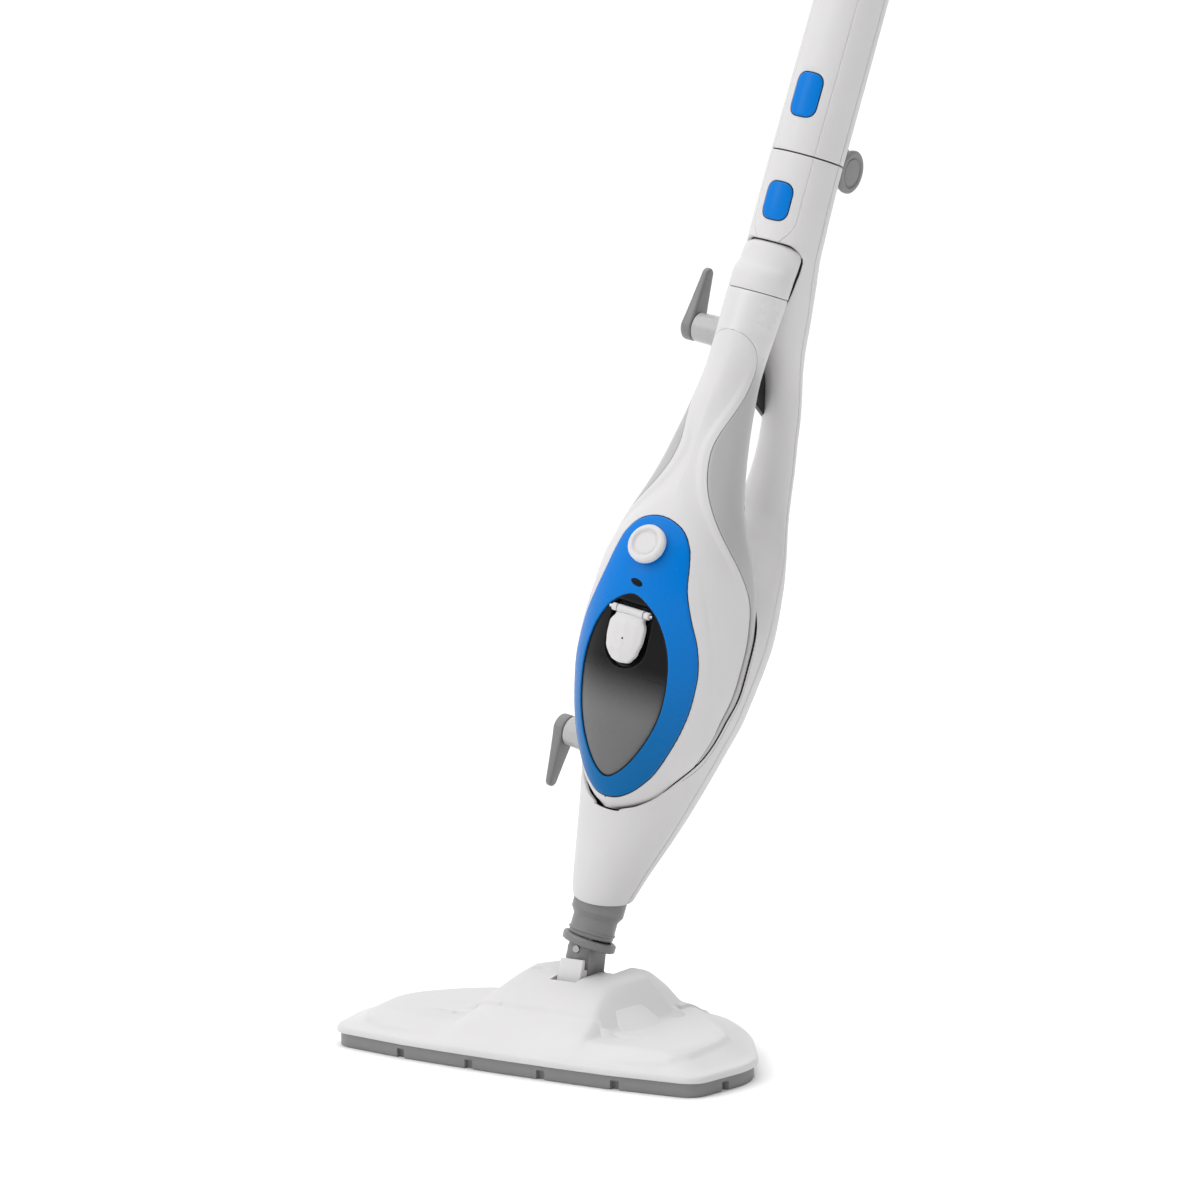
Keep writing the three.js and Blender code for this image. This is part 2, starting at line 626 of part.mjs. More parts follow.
/** A cord hook: a boss on the frame's left side, with a lever that a screw holds on its end. */
function makeHook({ name, y, z, bossEnd, up }) {
  const group = new THREE.Group();
  const end = -bossEnd;
  const boss = rod([-5, y, z], [end, y, z], 10.5, 9.5, 28)
    .subtract(loft(frameSection, FRAME_HEIGHTS, GAP))
    .subtract(rod([end + 9, y, z], [end - 5, y, z], 2.2, 2.2, 12));
  group.add(piece(`${name}_boss`, largest(boss), PALE_GREY));

  const inside = end - GAP;
  const tipZ = z + (up ? 34 : -34);
  const lever = wasm.Manifold.hull([
    rod([inside, y, z], [inside - 8, y, z], 9.8, 9.2, 28),
    rod([inside - 1.5, y, tipZ], [inside - 6, y, tipZ], 4.6, 4.2, 20),
  ])
    .subtract(rod([inside + 1, y, z], [inside - 12, y, z], 2.4, 2.4, 12))
    .subtract(rod([inside - 6.6, y, z], [inside - 12, y, z], 5, 5, 20));
  group.add(piece(`${name}_lever`, lever, MID_GREY));

  const screw = rod([end + 8, y, z], [end - 7.3, y, z], 1.9, 1.9, 12)
    .add(rod([end - 7.2, y, z], [end - 8.4, y, z], 4.4, 4.4, 20));
  group.add(piece(`${name}_screw`, screw, STEEL));
  return group;
}

/** The biggest separate body of a solid. */
function largest(shape) {
  return shape.decompose().sort((a, b) => b.volume() - a.volume())[0];
}

/** A block with rounded corners in x and z, centred at x and z, from y0 to y1. */
function roundedBlock(x, z, width, height, radius, y0, y1) {
  const points = [];
  for (const [sx, sz, start] of [[1, 1, 0], [-1, 1, 90], [-1, -1, 180], [1, -1, 270]]) {
    for (let i = 0; i <= 4; i += 1) {
      const angle = THREE.MathUtils.degToRad(start + i * 22.5);
      points.push([
        x + sx * (width / 2 - radius) + radius * Math.cos(angle),
        z + sz * (height / 2 - radius) + radius * Math.sin(angle),
      ]);
    }
  }
  return slab(points, y0, y1);
}

// ---------------------------------------------------------------- handheld steamer

const TANK_TOP_Z = 180;
const CAP_HINGE = { y: -59.5, z: 218.5 };
const DIAL = { y: -60.2, z: 261, radius: 12.6, tilt: THREE.MathUtils.degToRad(16) };

/** Everything behind the handheld's parting line. */
function rearHalf(shift) {
  const line = [85, ...HANDHELD_HEIGHTS, END_CAP_Z, DOCK_TOP_Z + 5]
    .map((z) => [handheldSection(z)[1] + shift, z]);
  return profileSlab([...line, [90, DOCK_TOP_Z + 5], [90, 85]], 90);
}

/** A point on the dial's axis, a distance out from the handheld's face. */
function dialPoint(distance) {
  return [0, DIAL.y - distance * Math.cos(DIAL.tilt), DIAL.z + distance * Math.sin(DIAL.tilt)];
}

function makeHandheldShells() {
  const group = new THREE.Group();
  const heights = [...HANDHELD_HEIGHTS, END_CAP_Z - GAP / 2];
  const shell = loft(handheldSection, heights)
    .subtract(loft(handheldSection, [96, ...heights.slice(1, -1), END_CAP_Z + 1], -WALL))
    .subtract(rod([0, -3, 80], [0, -3, 110], 8.6, 8.6, 24));
  const front = shell
    .subtract(rearHalf(-GAP))
    .subtract(slab(outlineOf(bezelHalfWidth, BEZEL_HEIGHTS, GAP), -90, -14));
  group.add(piece('handheld_front', largest(front), WHITE));
  group.add(piece('handheld_rear', largest(shell.intersect(rearHalf(0))), PALE_GREY));

  const capHeights = [END_CAP_Z + GAP / 2, 444, 448, 452, 462, DOCK_TOP_Z];
  const endCap = skin(capHeights.map((z, i) => ring(handheldSection(z), z, i > 4 ? -1.5 : 0, 24)))
    .subtract(loft(handheldSection, [430, 444, 452, DOCK_TOP_Z - WALL], -WALL));
  group.add(piece('end_cap', largest(endCap), WHITE));
  return group;
}

/** The blue bezel, and behind its window the smoked tank below the black filler well. */
function makeHandheldFace() {
  const group = new THREE.Group();
  const heights = [90, ...HANDHELD_HEIGHTS.slice(1, 15)];
  const bezel = loft(handheldSection, heights, 0.8)
    .subtract(loft(handheldSection, heights, -WALL))
    .intersect(slab(outlineOf(bezelHalfWidth, BEZEL_HEIGHTS), -90, -14 - GAP))
    .subtract(slab(outlineOf(windowHalfWidth, WINDOW_HEIGHTS, GAP), -90, -10))
    .subtract(rod(dialPoint(20), dialPoint(-20), 4.2, 4.2, 20))
    .subtract(roundedBlock(0, 237, 9.6, 4.6, 2.2, -80, -40));
  group.add(piece('blue_bezel', largest(bezel), BLUE));
  group.add(piece('indicator_lens', roundedBlock(0, 237, 9, 4, 2, -62.6, -58), BLACK));

  const window = loft(handheldSection, heights, -0.3)
    .intersect(slab(outlineOf(windowHalfWidth, WINDOW_HEIGHTS), -90, -17));
  const water = loft(handheldSection, heights, -2.3)
    .intersect(slab(outlineOf(windowHalfWidth, WINDOW_HEIGHTS, -2), -90, -19))
    .intersect(box(-60, 60, -90, 0, 112, TANK_TOP_Z - 2));
  const fillerNeck = rod([0, -38, TANK_TOP_Z - 4], [0, -38, 200], 8, 8, 24);
  const tank = window
    .intersect(box(-60, 60, -90, 0, 100, TANK_TOP_Z))
    .subtract(water)
    .subtract(fillerNeck);
  group.add(piece('water_tank', largest(tank), SMOKE));
  const { y, z } = CAP_HINGE;
  const well = window
    .intersect(box(-60, 60, -90, 0, TANK_TOP_Z + GAP, 240))
    .subtract(box(-14.2, 14.2, -90, -45, z - 34, z + 4))
    .subtract(rod([-17, y, z], [17, y, z], 1.4, 1.4, 12))
    .subtract(box(-8, 8, -50, -30, 194, 208))
    .subtract(fillerNeck);
  group.add(piece('filler_well', largest(well), BLACK));
  return group;
}

/** Boiler, pump, hose, controls and outlet, all inside the shells. */
function makeHandheldInside() {
  const group = new THREE.Group();
  group.add(piece('boiler', rod([0, 3, 128], [0, 3, 184], 15, 15, 28), ALUMINIUM));
  group.add(piece('thermostat', box(-7, 7, -1, 9, 184.4, 190), BLACK));
  const pump = rod([0, 0, 194], [0, 0, 236], 13, 13, 24).add(rod([0, 0, 234], [0, 0, 244], 4, 4, 16));
  group.add(piece('pump', pump, BLACK));
  group.add(piece('circuit_board', box(-15, 15, -16, -14.4, 284, 338), CIRCUIT));
  group.add(piece('steam_outlet', pipe([0, -3, 93.2], [0, -3, 127.4], 8.2, 3, 24), BRASS));

  const route = new THREE.CatmullRomCurve3([
    [4.6, 0, 240], [14, 2, 240.5], [23, 4, 226], [26, 3, 190], [26, 2, 150], [22, 1, 130],
  ].map((point) => new THREE.Vector3(...point)));
  const circle = new THREE.Shape(Array.from({ length: 8 }, (_, i) => (
    new THREE.Vector2(3 * Math.cos((Math.PI * i) / 4), 3 * Math.sin((Math.PI * i) / 4)))));
  const hose = new THREE.ExtrudeGeometry(circle, { steps: 14, extrudePath: route, bevelEnabled: false });
  group.add(piece('pump_hose', solid(hose), RUBBER));
  return group;
}

/** The steam dial and its shaft, drawn along its own axis. */
function makeDial() {
  const group = new THREE.Group();
  group.position.set(0, DIAL.y, DIAL.z);
  group.rotation.x = Math.PI / 2 - DIAL.tilt;
  const { radius } = DIAL;
  const knob = rod([0, 0, 1.4], [0, 0, 4.6], radius, radius, 36)
    .add(rod([0, 0, 4.6], [0, 0, 5.8], radius, radius - 1.2, 36))
    .subtract(rod([0, 0, 4.6], [0, 0, 7], radius - 4.4, radius - 3, 36))
    .subtract(rod([0, 0, 0], [0, 0, 3.4], 2.75, 2.75, 16));
  group.add(piece('steam_dial', knob, WHITE));
  group.add(piece('dial_shaft', rod([0, 0, -22], [0, 0, 3.1], 2.5, 2.5, 16), PALE_GREY));
  return group;
}

/** The filler cap: a shield with a hinge barrel along its top. */
function makeFillerCap() {
  const group = new THREE.Group();
  const { y, z } = CAP_HINGE;
  const outline = mirrored([[8.5, z - 32], [12.3, z - 24], [13.2, z - 10], [11, z - 5.5], [11, z - 2]]);
  const side = profileSlab([[y + 2, z], [y + 5.5, z - 31], [y + 1.5, z - 33], [y - 2.4, z - 24],
    [y - 3.4, z - 8], [y - 1.5, z]], 20);
  const lid = slab(outline, y - 4, y + 6)
    .intersect(side)
    .add(rod([-11, y, z], [11, y, z], 2.6, 2.6, 16))
    .subtract(rod([-20, y, z], [20, y, z], 1.4, 1.4, 12));
  group.add(piece('filler_cap', largest(lid), WHITE));
  group.add(piece('cap_hinge_pin', rod([-16, y, z], [16, y, z], 1.1, 1.1, 12), STEEL));
  return group;
}

// ---------------------------------------------------------------- upper pole

const UPPER_TOP_Z = JOINT_Z + UPPER_TUBE_LENGTH;
const GRIP = { y: 14, z: UPPER_TOP_Z + 92, halfDepth: 46, halfHeight: 104, halfWidth: 15, thickness: 27 };

const upperSection = smooth([
  [JOINT_Z, POLE_RADIUS, 0, -POLE_RADIUS, POLE_RADIUS],
  [JOINT_Z + 180, 22.5, 0, -22.5, 22.5],
  [UPPER_TOP_Z, 20, 1, -20, 22],
]);

/** An egg-shaped outline in the side view, wider at the top. */
function gripOutline(inset, count = 32) {
  return Array.from({ length: count }, (_, i) => {
    const angle = (2 * Math.PI * i) / count;
    const across = Math.cos(angle) * (1 + 0.18 * Math.sin(angle));
    return [
      GRIP.y + (GRIP.halfDepth - inset) * across,
      GRIP.z + (GRIP.halfHeight - inset) * Math.sin(angle),
    ];
  });
}

/** The closed limb of the grip, moved in by wall: rounded sections joined all the way round. */
function gripLoop(wall) {
  const outer = gripOutline(wall);
  const inner = gripOutline(GRIP.thickness - wall);
  const sides = 12;
  const positions = [];
  const index = [];
  outer.forEach(([y0, z0], i) => {
    const [y1, z1] = inner[i];
    for (let j = 0; j < sides; j += 1) {
      const angle = (2 * Math.PI * j) / sides;
      const across = 0.5 + 0.5 * Math.cos(angle);
      positions.push((GRIP.halfWidth - wall) * Math.sin(angle), y1 + (y0 - y1) * across, z1 + (z0 - z1) * across);
    }
  });
  for (let i = 0; i < outer.length; i += 1) {
    const next = (i + 1) % outer.length;
    for (let j = 0; j < sides; j += 1) {
      const k = (j + 1) % sides;
      const [a, b, c, d] = [i * sides + j, i * sides + k, next * sides + k, next * sides + j];
      index.push(a, c, b, a, d, c);
    }
  }
  const geometry = new THREE.BufferGeometry();
  geometry.setAttribute('position', new THREE.Float32BufferAttribute(positions, 3));
  geometry.setIndex(index);
  return solid(geometry);
}

/** The room of the soft pad let into the back of the grip. */
function padZone(grow) {
  const [front, back] = [GRIP.y + 12 - grow, GRIP.y + 80];
  const [low, high] = [GRIP.z - 30 - grow, GRIP.z + 62 + grow];
  return profileSlab([[front, low], [back, low], [back, high], [front, high]], 40)
    .subtract(profileSlab(gripOutline(8 + grow), 50));
}

function makeUpperPole() {
  const group = new THREE.Group();
  const low = JOINT_Z + GAP / 2;
  const heights = [low, ...heightsBetween(JOINT_Z + 40, UPPER_TOP_Z, 6)];
  const inner = loft(upperSection, [low - 1, ...heights.slice(1, -1), UPPER_TOP_Z + 1], -WALL);
  const tube = loft(upperSection, heights).subtract(inner);
  const upperTube = tube
    .subtract(panelRegion(1, GAP))
    .add(hingeLeaf(UPPER_KNUCKLES, 1).subtract(inner))
    .subtract(hingeRoom(FRAME_KNUCKLES, HINGE.radius - 1.5))
    .subtract(hingeRoom(HINGE_CAPS, HINGE.radius))
    .subtract(rod([-40, HINGE.y, HINGE.z], [40, HINGE.y, HINGE.z], 3.15));
  group.add(piece('upper_tube', largest(upperTube), WHITE));
  const panel = tube.intersect(panelRegion(1, 0)).subtract(buttonRoom(1));
  group.add(piece('upper_panel', largest(panel), WHITE));
  group.add(piece('upper_latch_bar', box(-18.6, 18.6, -8, -4, 546, 574), PALE_GREY));
  HINGE_CAPS.forEach(([x0, x1], i) => {
    const side = Math.sign(x0);
    const [inside, outside] = side > 0 ? [x0, x1] : [x1, x0];
    const { y, z, radius } = HINGE;
    const cap = rod([inside, y, z], [outside, y, z], radius, radius - 1, 32)
      .subtract(rod([inside - side * 3, y, z], [side * 14.4, y, z], 3.3, 3.3, 20));
    group.add(piece(`hinge_cap_${i + 1}`, cap, BASE_GREY));
  });

  // the loop grip stands on the tube's end, with a plug inside it
  const seat = loft(upperSection, [UPPER_TOP_Z + GAP, UPPER_TOP_Z + 30])
    .subtract(profileSlab(gripOutline(GRIP.thickness), 40));
  const plug = rod([0, 0, UPPER_TOP_Z - 25], [0, 0, UPPER_TOP_Z + 5], 16.5, 16.5, 24);
  const hollow = gripLoop(WALL);
  const grip = gripLoop(0)
    .subtract(box(-40, 40, -60, 80, UPPER_TOP_Z - 40, UPPER_TOP_Z + GAP))
    .add(seat)
    .add(plug)
    .subtract(hollow)
    .subtract(rod([0, 0, UPPER_TOP_Z - 30], [0, 0, UPPER_TOP_Z + 8], 14, 14, 24))
    .subtract(padZone(GAP));
  group.add(piece('loop_grip', largest(grip), WHITE));
  const pad = gripLoop(0).subtract(hollow).intersect(padZone(0));
  group.add(piece('grip_pad', largest(pad), MID_GREY));
  return group;
}

// ---------------------------------------------------------------- assembly

const model = new THREE.Group();
model.add(makeHead());

const yokeGroup = makeYoke();
yokeGroup.position.set(0, PITCH_AXLE.y, PITCH_AXLE.z);
yokeGroup.rotation.x = -PITCH_BACK;
model.add(yokeGroup);

const bodyGroup = new THREE.Group();
bodyGroup.position.z = YOKE_HEIGHT;
bodyGroup.rotation.y = ROLL_RIGHT;
bodyGroup.add(makeNeck(), makeFrame(), ...HOOKS.map(makeHook), makeUpperPole());
bodyGroup.add(makeHandheldShells(), makeHandheldFace(), makeHandheldInside(), makeDial(), makeFillerCap());
bodyGroup.add(releaseButton('lower_button', -1), releaseButton('upper_button', 1));
yokeGroup.add(bodyGroup);

export default model;
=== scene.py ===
"""Looks of an upright steam mop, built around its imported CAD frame.

Shapes are drawn in millimetres in one of three frames: the row frame, the yoke's frame, or the body's
frame, whose origin is the neck's roll pin and whose z runs up the pole. Each piece is then placed in
the row frame, in metres.
"""

import json
import math

import bmesh
import bpy
import numpy as np
from mathutils import Matrix, Vector


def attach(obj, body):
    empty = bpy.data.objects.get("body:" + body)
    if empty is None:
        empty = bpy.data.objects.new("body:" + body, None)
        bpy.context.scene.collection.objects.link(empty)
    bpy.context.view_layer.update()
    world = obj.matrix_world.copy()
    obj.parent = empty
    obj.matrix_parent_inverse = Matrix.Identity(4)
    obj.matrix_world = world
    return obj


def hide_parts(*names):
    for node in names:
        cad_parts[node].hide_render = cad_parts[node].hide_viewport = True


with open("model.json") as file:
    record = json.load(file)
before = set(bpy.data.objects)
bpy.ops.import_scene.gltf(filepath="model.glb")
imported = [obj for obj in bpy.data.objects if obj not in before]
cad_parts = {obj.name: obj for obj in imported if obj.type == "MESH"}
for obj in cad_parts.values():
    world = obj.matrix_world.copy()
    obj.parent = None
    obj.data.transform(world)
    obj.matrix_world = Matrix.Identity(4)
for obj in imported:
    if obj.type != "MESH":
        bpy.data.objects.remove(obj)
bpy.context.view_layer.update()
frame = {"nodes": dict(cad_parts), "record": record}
nodes = frame["nodes"]

# ------------------------------------------------------------------ driving dimensions

PITCH_BACK = math.radians(12.4)
ROLL_RIGHT = math.radians(10.6)
AXLE = (0.0, 13.9, 38.0)
YOKE_HEIGHT = 23.4
JOINT_Z = 523.0
DOCK_TOP_Z = 465.0
END_CAP_Z = 432.0
POLE_RADIUS = 23.5
UPPER_TOP_Z = JOINT_Z + 350.0
HINGE_Y = 31.5
HINGE_RADIUS = 14.0
HEAD_FRONT = -82.0
HEAD_REAR = 84.0
HEAD_HALF_WIDTH = 146.0
SEAM = 0.45

ROW = Matrix.Identity(4)
YOKE = Matrix.Translation(AXLE) @ Matrix.Rotation(-PITCH_BACK, 4, "X")
BODY = YOKE @ Matrix.Translation((0, 0, YOKE_HEIGHT)) @ Matrix.Rotation(ROLL_RIGHT, 4, "Y")

# ------------------------------------------------------------------ section curves


def smooth(stations):
    """A curve through given stations [z, value, value, ...], without overshoot."""
    z = [s[0] for s in stations]
    values = np.array([s[1:] for s in stations], float)
    slopes = np.zeros_like(values)
    for i in range(1, len(z) - 1):
        left = (values[i] - values[i - 1]) / (z[i] - z[i - 1])
        right = (values[i + 1] - values[i]) / (z[i + 1] - z[i])
        same = left * right > 0
        slopes[i][same] = 2 * left[same] * right[same] / (left + right)[same]

    def at(height):
        i = 0
        while i < len(z) - 2 and height > z[i + 1]:
            i += 1
        span = z[i + 1] - z[i]
        t = min(max((height - z[i]) / span, 0.0), 1.0)
        h, g = t * t * (3 - 2 * t), t * (1 - t)
        return (values[i] * (1 - h) + values[i + 1] * h
                + span * g * ((1 - t) * slopes[i] - t * slopes[i + 1]))

    return at


# height, half width, y of the widest point, front y, rear y
handheld_section = smooth([
    [93, 9, -3, -23.5, 3], [98, 18, -3, -28, 9.5], [106, 27, -3, -33, 15.5], [119, 35, -3, -39, 20],
    [139, 45, -3, -46, 24], [163, 52.5, -3, -52, 26], [187, 57, -3, -57, 26.5],
    [211, 57.5, -4, -60, 25], [238, 54.5, -7, -62, 21], [261, 48.5, -11, -60, 15],
    [284, 39.5, -18, -52, 9], [301, 33, -20, -46, 4], [322, 27.5, -20, -41, 1.5],
    [360, 20.5, -18, -37, 0], [381, 18.5, -17, -34.5, 0], [432, 20.5, -14, -30, 1.5],
    [444, 20.8, -13.3, -29, 1.7], [452, 20.3, -10, -24, 2], [DOCK_TOP_Z, 20.8, -9, -22.3, 2],
])
frame_section = smooth([
    [31, 18, 0, -18, 18], [36, 19.5, 0, -19.5, 19.5], [56, 24.5, 2, -23, 27],
    [83, 32, 6, -25, 38], [107, 38.5, 8, -27, 46], [145, 49, 9, -32, 52], [171, 55.5, 9, -36, 55],
    [213, 59, 11, -36, 60], [249, 46, 32, -4, 71], [283, 25, 62, 45, 80], [301, 18, 67, 53, 82],
    [322, 15, 66, 52.5, 80], [355, 12.5, 59, 46, 73], [378, 12.5, 50, 36, 64],
    [390, 13.5, 42, 27, 57], [405, 16, 31, 12, 50], [425, 20, 20, -2, 41], [447, 23, 8, -16, 33],
    [466, 24, 2, -22, 27], [JOINT_Z, POLE_RADIUS, 0, -POLE_RADIUS, POLE_RADIUS],
])
upper_section = smooth([
    [JOINT_Z, POLE_RADIUS, 0, -POLE_RADIUS, POLE_RADIUS],
    [JOINT_Z + 180, 22.5, 0, -22.5, 22.5], [UPPER_TOP_Z, 20, 1, -20, 22],
])
rear_cover_half = smooth([
    [40, 6], [107, 26], [171, 40], [213, 42], [249, 32], [283, 16], [322, 5], [390, 5], [466, 8],
    [JOINT_Z, 9.5],
])


def smoothstep(value, low, high):
    t = np.clip((value - low) / (high - low), 0.0, 1.0)
    return t * t * (3 - 2 * t)


def ring_point(section, angle, grow=0.0):
    """A point of an egg-shaped ring: angle 0 is its right side, and -90 degrees its front."""
    half, mid, front, rear = section
    depth = mid - front if math.sin(angle) < 0 else rear - mid
    return (half + grow) * math.cos(angle), mid + (depth + grow) * math.sin(angle)


def face_y(section, x, grow=0.0, side=-1):
    """The y of an egg-shaped ring at x, on its front (side -1) or its rear (side 1)."""
    half, mid, front, rear = section
    depth = (mid - front if side < 0 else rear - mid) + grow
    across = np.clip(x / (half + grow), -0.999, 0.999)
    return mid + side * depth * np.sqrt(1 - across * across)


# ------------------------------------------------------------------ mesh helpers


def make_object(name, points, faces, place=BODY):
    """A mesh object from points in millimetres, placed in the row frame in metres."""
    placed = [(place @ Vector(p)) * 0.001 for p in points]
    mesh = bpy.data.meshes.new(name)
    mesh.from_pydata(placed, [], faces)
    mesh.update()
    obj = bpy.data.objects.new(name, mesh)
    bpy.context.scene.collection.objects.link(obj)
    return obj


def weld(obj, distance=2e-5):
    """Joins doubled points and turns all the faces outward."""
    bm = bmesh.new()
    bm.from_mesh(obj.data)
    bmesh.ops.remove_doubles(bm, verts=bm.verts, dist=distance)
    bmesh.ops.dissolve_degenerate(bm, dist=1e-7, edges=bm.edges)
    bmesh.ops.recalc_face_normals(bm, faces=bm.faces)
    bm.to_mesh(obj.data)
    bm.free()
    return obj


def grid_faces(rows, columns, closed=False, start=0):
    faces = []
    for i in range(rows - 1):
        for j in range(columns if closed else columns - 1):
            a = start + i * columns + j
            b = start + i * columns + (j + 1) % columns
            faces.append((a, b, b + columns, a + columns))
    return faces


def apply_modifiers(obj):
    """Bakes an object's modifiers into its mesh."""
    graph = bpy.context.evaluated_depsgraph_get()
    baked = bpy.data.meshes.new_from_object(obj.evaluated_get(graph))
    obj.modifiers.clear()
    obj.data = baked
    return obj


def bevel(obj, width, segments=3, angle=40):
    edge = obj.modifiers.new("edge", "BEVEL")
    edge.width = width * 0.001
    edge.segments = segments
    edge.limit_method = "ANGLE"
    edge.angle_limit = math.radians(angle)
    edge.harden_normals = False
    return apply_modifiers(obj)


def shade(obj, angle=40):
    """Smooth shading, with edges sharper than the angle kept crisp."""
    mesh = obj.data
    mesh.polygons.foreach_set("use_smooth", [True] * len(mesh.polygons))
    bm = bmesh.new()
    bm.from_mesh(mesh)
    limit = math.radians(angle)
    for e in bm.edges:
        e.smooth = len(e.link_faces) == 2 and e.calc_face_angle(0) < limit
    bm.to_mesh(mesh)
    bm.free()
    return obj


def combine(obj, operation, *tools):
    """Cuts, joins or keeps what closed tools share with a closed object, and removes the tools."""
    for tool in tools:
        change = obj.modifiers.new("combine", "BOOLEAN")
        change.operation = operation
        change.solver = "MANIFOLD"
        change.object = tool
        apply_modifiers(obj)
        bpy.data.objects.remove(tool)
    return obj


def cut(obj, *tools):
    return combine(obj, "DIFFERENCE", *tools)


def closed_stack(name, rings, place=BODY):
    """A closed body through rings of equal length, with its two ends filled."""
    columns = len(rings[0])
    points = [p for ring in rings for p in ring]
    faces = grid_faces(len(rings), columns, closed=True)
    faces.append(tuple(range(columns))[::-1])
    faces.append(tuple(len(points) - columns + j for j in range(columns)))
    return weld(make_object(name, points, faces, place))


def hoop(name, rings, place=BODY):
    """A closed body whose last ring runs on into its first."""
    points = [p for ring in rings + rings[:1] for p in ring]
    return weld(make_object(name, points, grid_faces(len(rings) + 1, len(rings[0]), closed=True),
                            place))


def circle(radius, sides=96):
    """Points (x, y) of a circle."""
    turns = [2 * math.pi * j / sides for j in range(sides)]
    return [(radius * math.cos(turn), radius * math.sin(turn)) for turn in turns]


def section_ring(section, z, grow, sides=96):
    """Points (x, y) of a section's whole ring at a height."""
    values = section(z)
    return [ring_point(values, 2 * math.pi * j / sides, grow) for j in range(sides)]


def rounded(points, radius, steps=5, closed=True):
    """A flat outline with each corner turned into an arc."""
    pts = [Vector(p) for p in points]
    count = len(pts)
    made = []
    for i, here in enumerate(pts):
        if not closed and i in (0, count - 1):
            made.append(tuple(here))
            continue
        before, after = pts[i - 1] - here, pts[(i + 1) % count] - here
        reach = min(radius, before.length * 0.45, after.length * 0.45)
        a, b = here + before.normalized() * reach, here + after.normalized() * reach
        for k in range(steps + 1):
            t = k / steps
            made.append(tuple(a * (1 - t) ** 2 + here * (2 * t * (1 - t)) + b * t * t))
    return made


def lathe(name, profile, start, end, place=BODY, sides=96, radius=0.6):
    """Turns a profile of (radius, distance) about the line from start to end."""
    start, end = Vector(start), Vector(end)
    turn = Vector((0, 0, 1)).rotation_difference((end - start).normalized())
    rings = [[start + turn @ Vector((x, y, d)) for x, y in circle(max(r, 0.01), sides)]
             for r, d in rounded(profile, radius, 4, closed=False)]
    return closed_stack(name, rings, place)


def bore(radius, start, end, low, high, place=BODY, sides=48):
    """A round cutting tool on the line from start to end, between two distances along it."""
    profile = [(0, low), (radius, low), (radius, high), (0, high)]
    return lathe("hole", profile, start, end, place, sides, 0)


def slab(name, outline, y0, y1, place=BODY, edge=0.0):
    """A flat outline of (x, z) points, given depth along y."""
    rings = [[(x, y, z) for x, z in outline] for y in (y0, y1)]
    obj = closed_stack(name, rings, place)
    return bevel(obj, edge) if edge else obj


def side_slab(name, outline, x0, x1, place=BODY, edge=0.0):
    """A flat outline of (y, z) points, given depth along x."""
    rings = [[(x, y, z) for y, z in outline] for x in (x0, x1)]
    obj = closed_stack(name, rings, place)
    return bevel(obj, edge) if edge else obj


def rounded_block(x, z, width, height, radius, steps=8):
    w, h = width / 2, height / 2
    corners = [(x - w, z - h), (x + w, z - h), (x + w, z + h), (x - w, z + h)]
    return rounded(corners, radius, steps)


def heights(low, high, step):
    count = max(2, int(round((high - low) / step)) + 1)
    return [low + (high - low) * i / (count - 1) for i in range(count)]


# ------------------------------------------------------------------ materials


def add(tree, kind, **inputs):
    node = tree.nodes.new(kind)
    for key, value in inputs.items():
        node.inputs[key.replace("_", " ")].default_value = value
    return node


def mapped(tree, source, low, high, start=0.0, end=1.0, eased=False):
    """Maps a value from low..high to start..end."""
    node = tree.nodes.new("ShaderNodeMapRange")
    if eased:
        node.interpolation_type = "SMOOTHSTEP"
    for key, value in (("From Min", low), ("From Max", high), ("To Min", start), ("To Max", end)):
        node.inputs[key].default_value = value
    tree.links.new(source, node.inputs["Value"])
    return node.outputs["Result"]


def mixed(tree, kind, factor, first, second):
    """Mixes two values or colours, each of them a socket or a constant."""
    node = tree.nodes.new("ShaderNodeMix")
    node.data_type = kind
    for key, value in (("Factor", factor), ("A", first), ("B", second)):
        if isinstance(value, bpy.types.NodeSocket):
            tree.links.new(value, node.inputs[key])
        else:
            node.inputs[key].default_value = value
    return node.outputs["Result"]


def faded(tree, place, base, z_from, z_to, color):
    """Blends a colour into another between two heights of the body frame."""
    up = (BODY.to_3x3() @ Vector((0, 0, 1))).normalized()
    origin = (BODY @ Vector((0, 0, 0))) * 0.001
    height = tree.nodes.new("ShaderNodeVectorMath")
    height.operation = "DOT_PRODUCT"
    height.inputs[1].default_value = up
    tree.links.new(place.outputs["Object"], height.inputs[0])
    share = mapped(tree, height.outputs["Value"], z_from * 0.001 + origin.dot(up),
                   z_to * 0.001 + origin.dot(up), eased=True)
    return mixed(tree, "RGBA", share, base, (*color, 1))


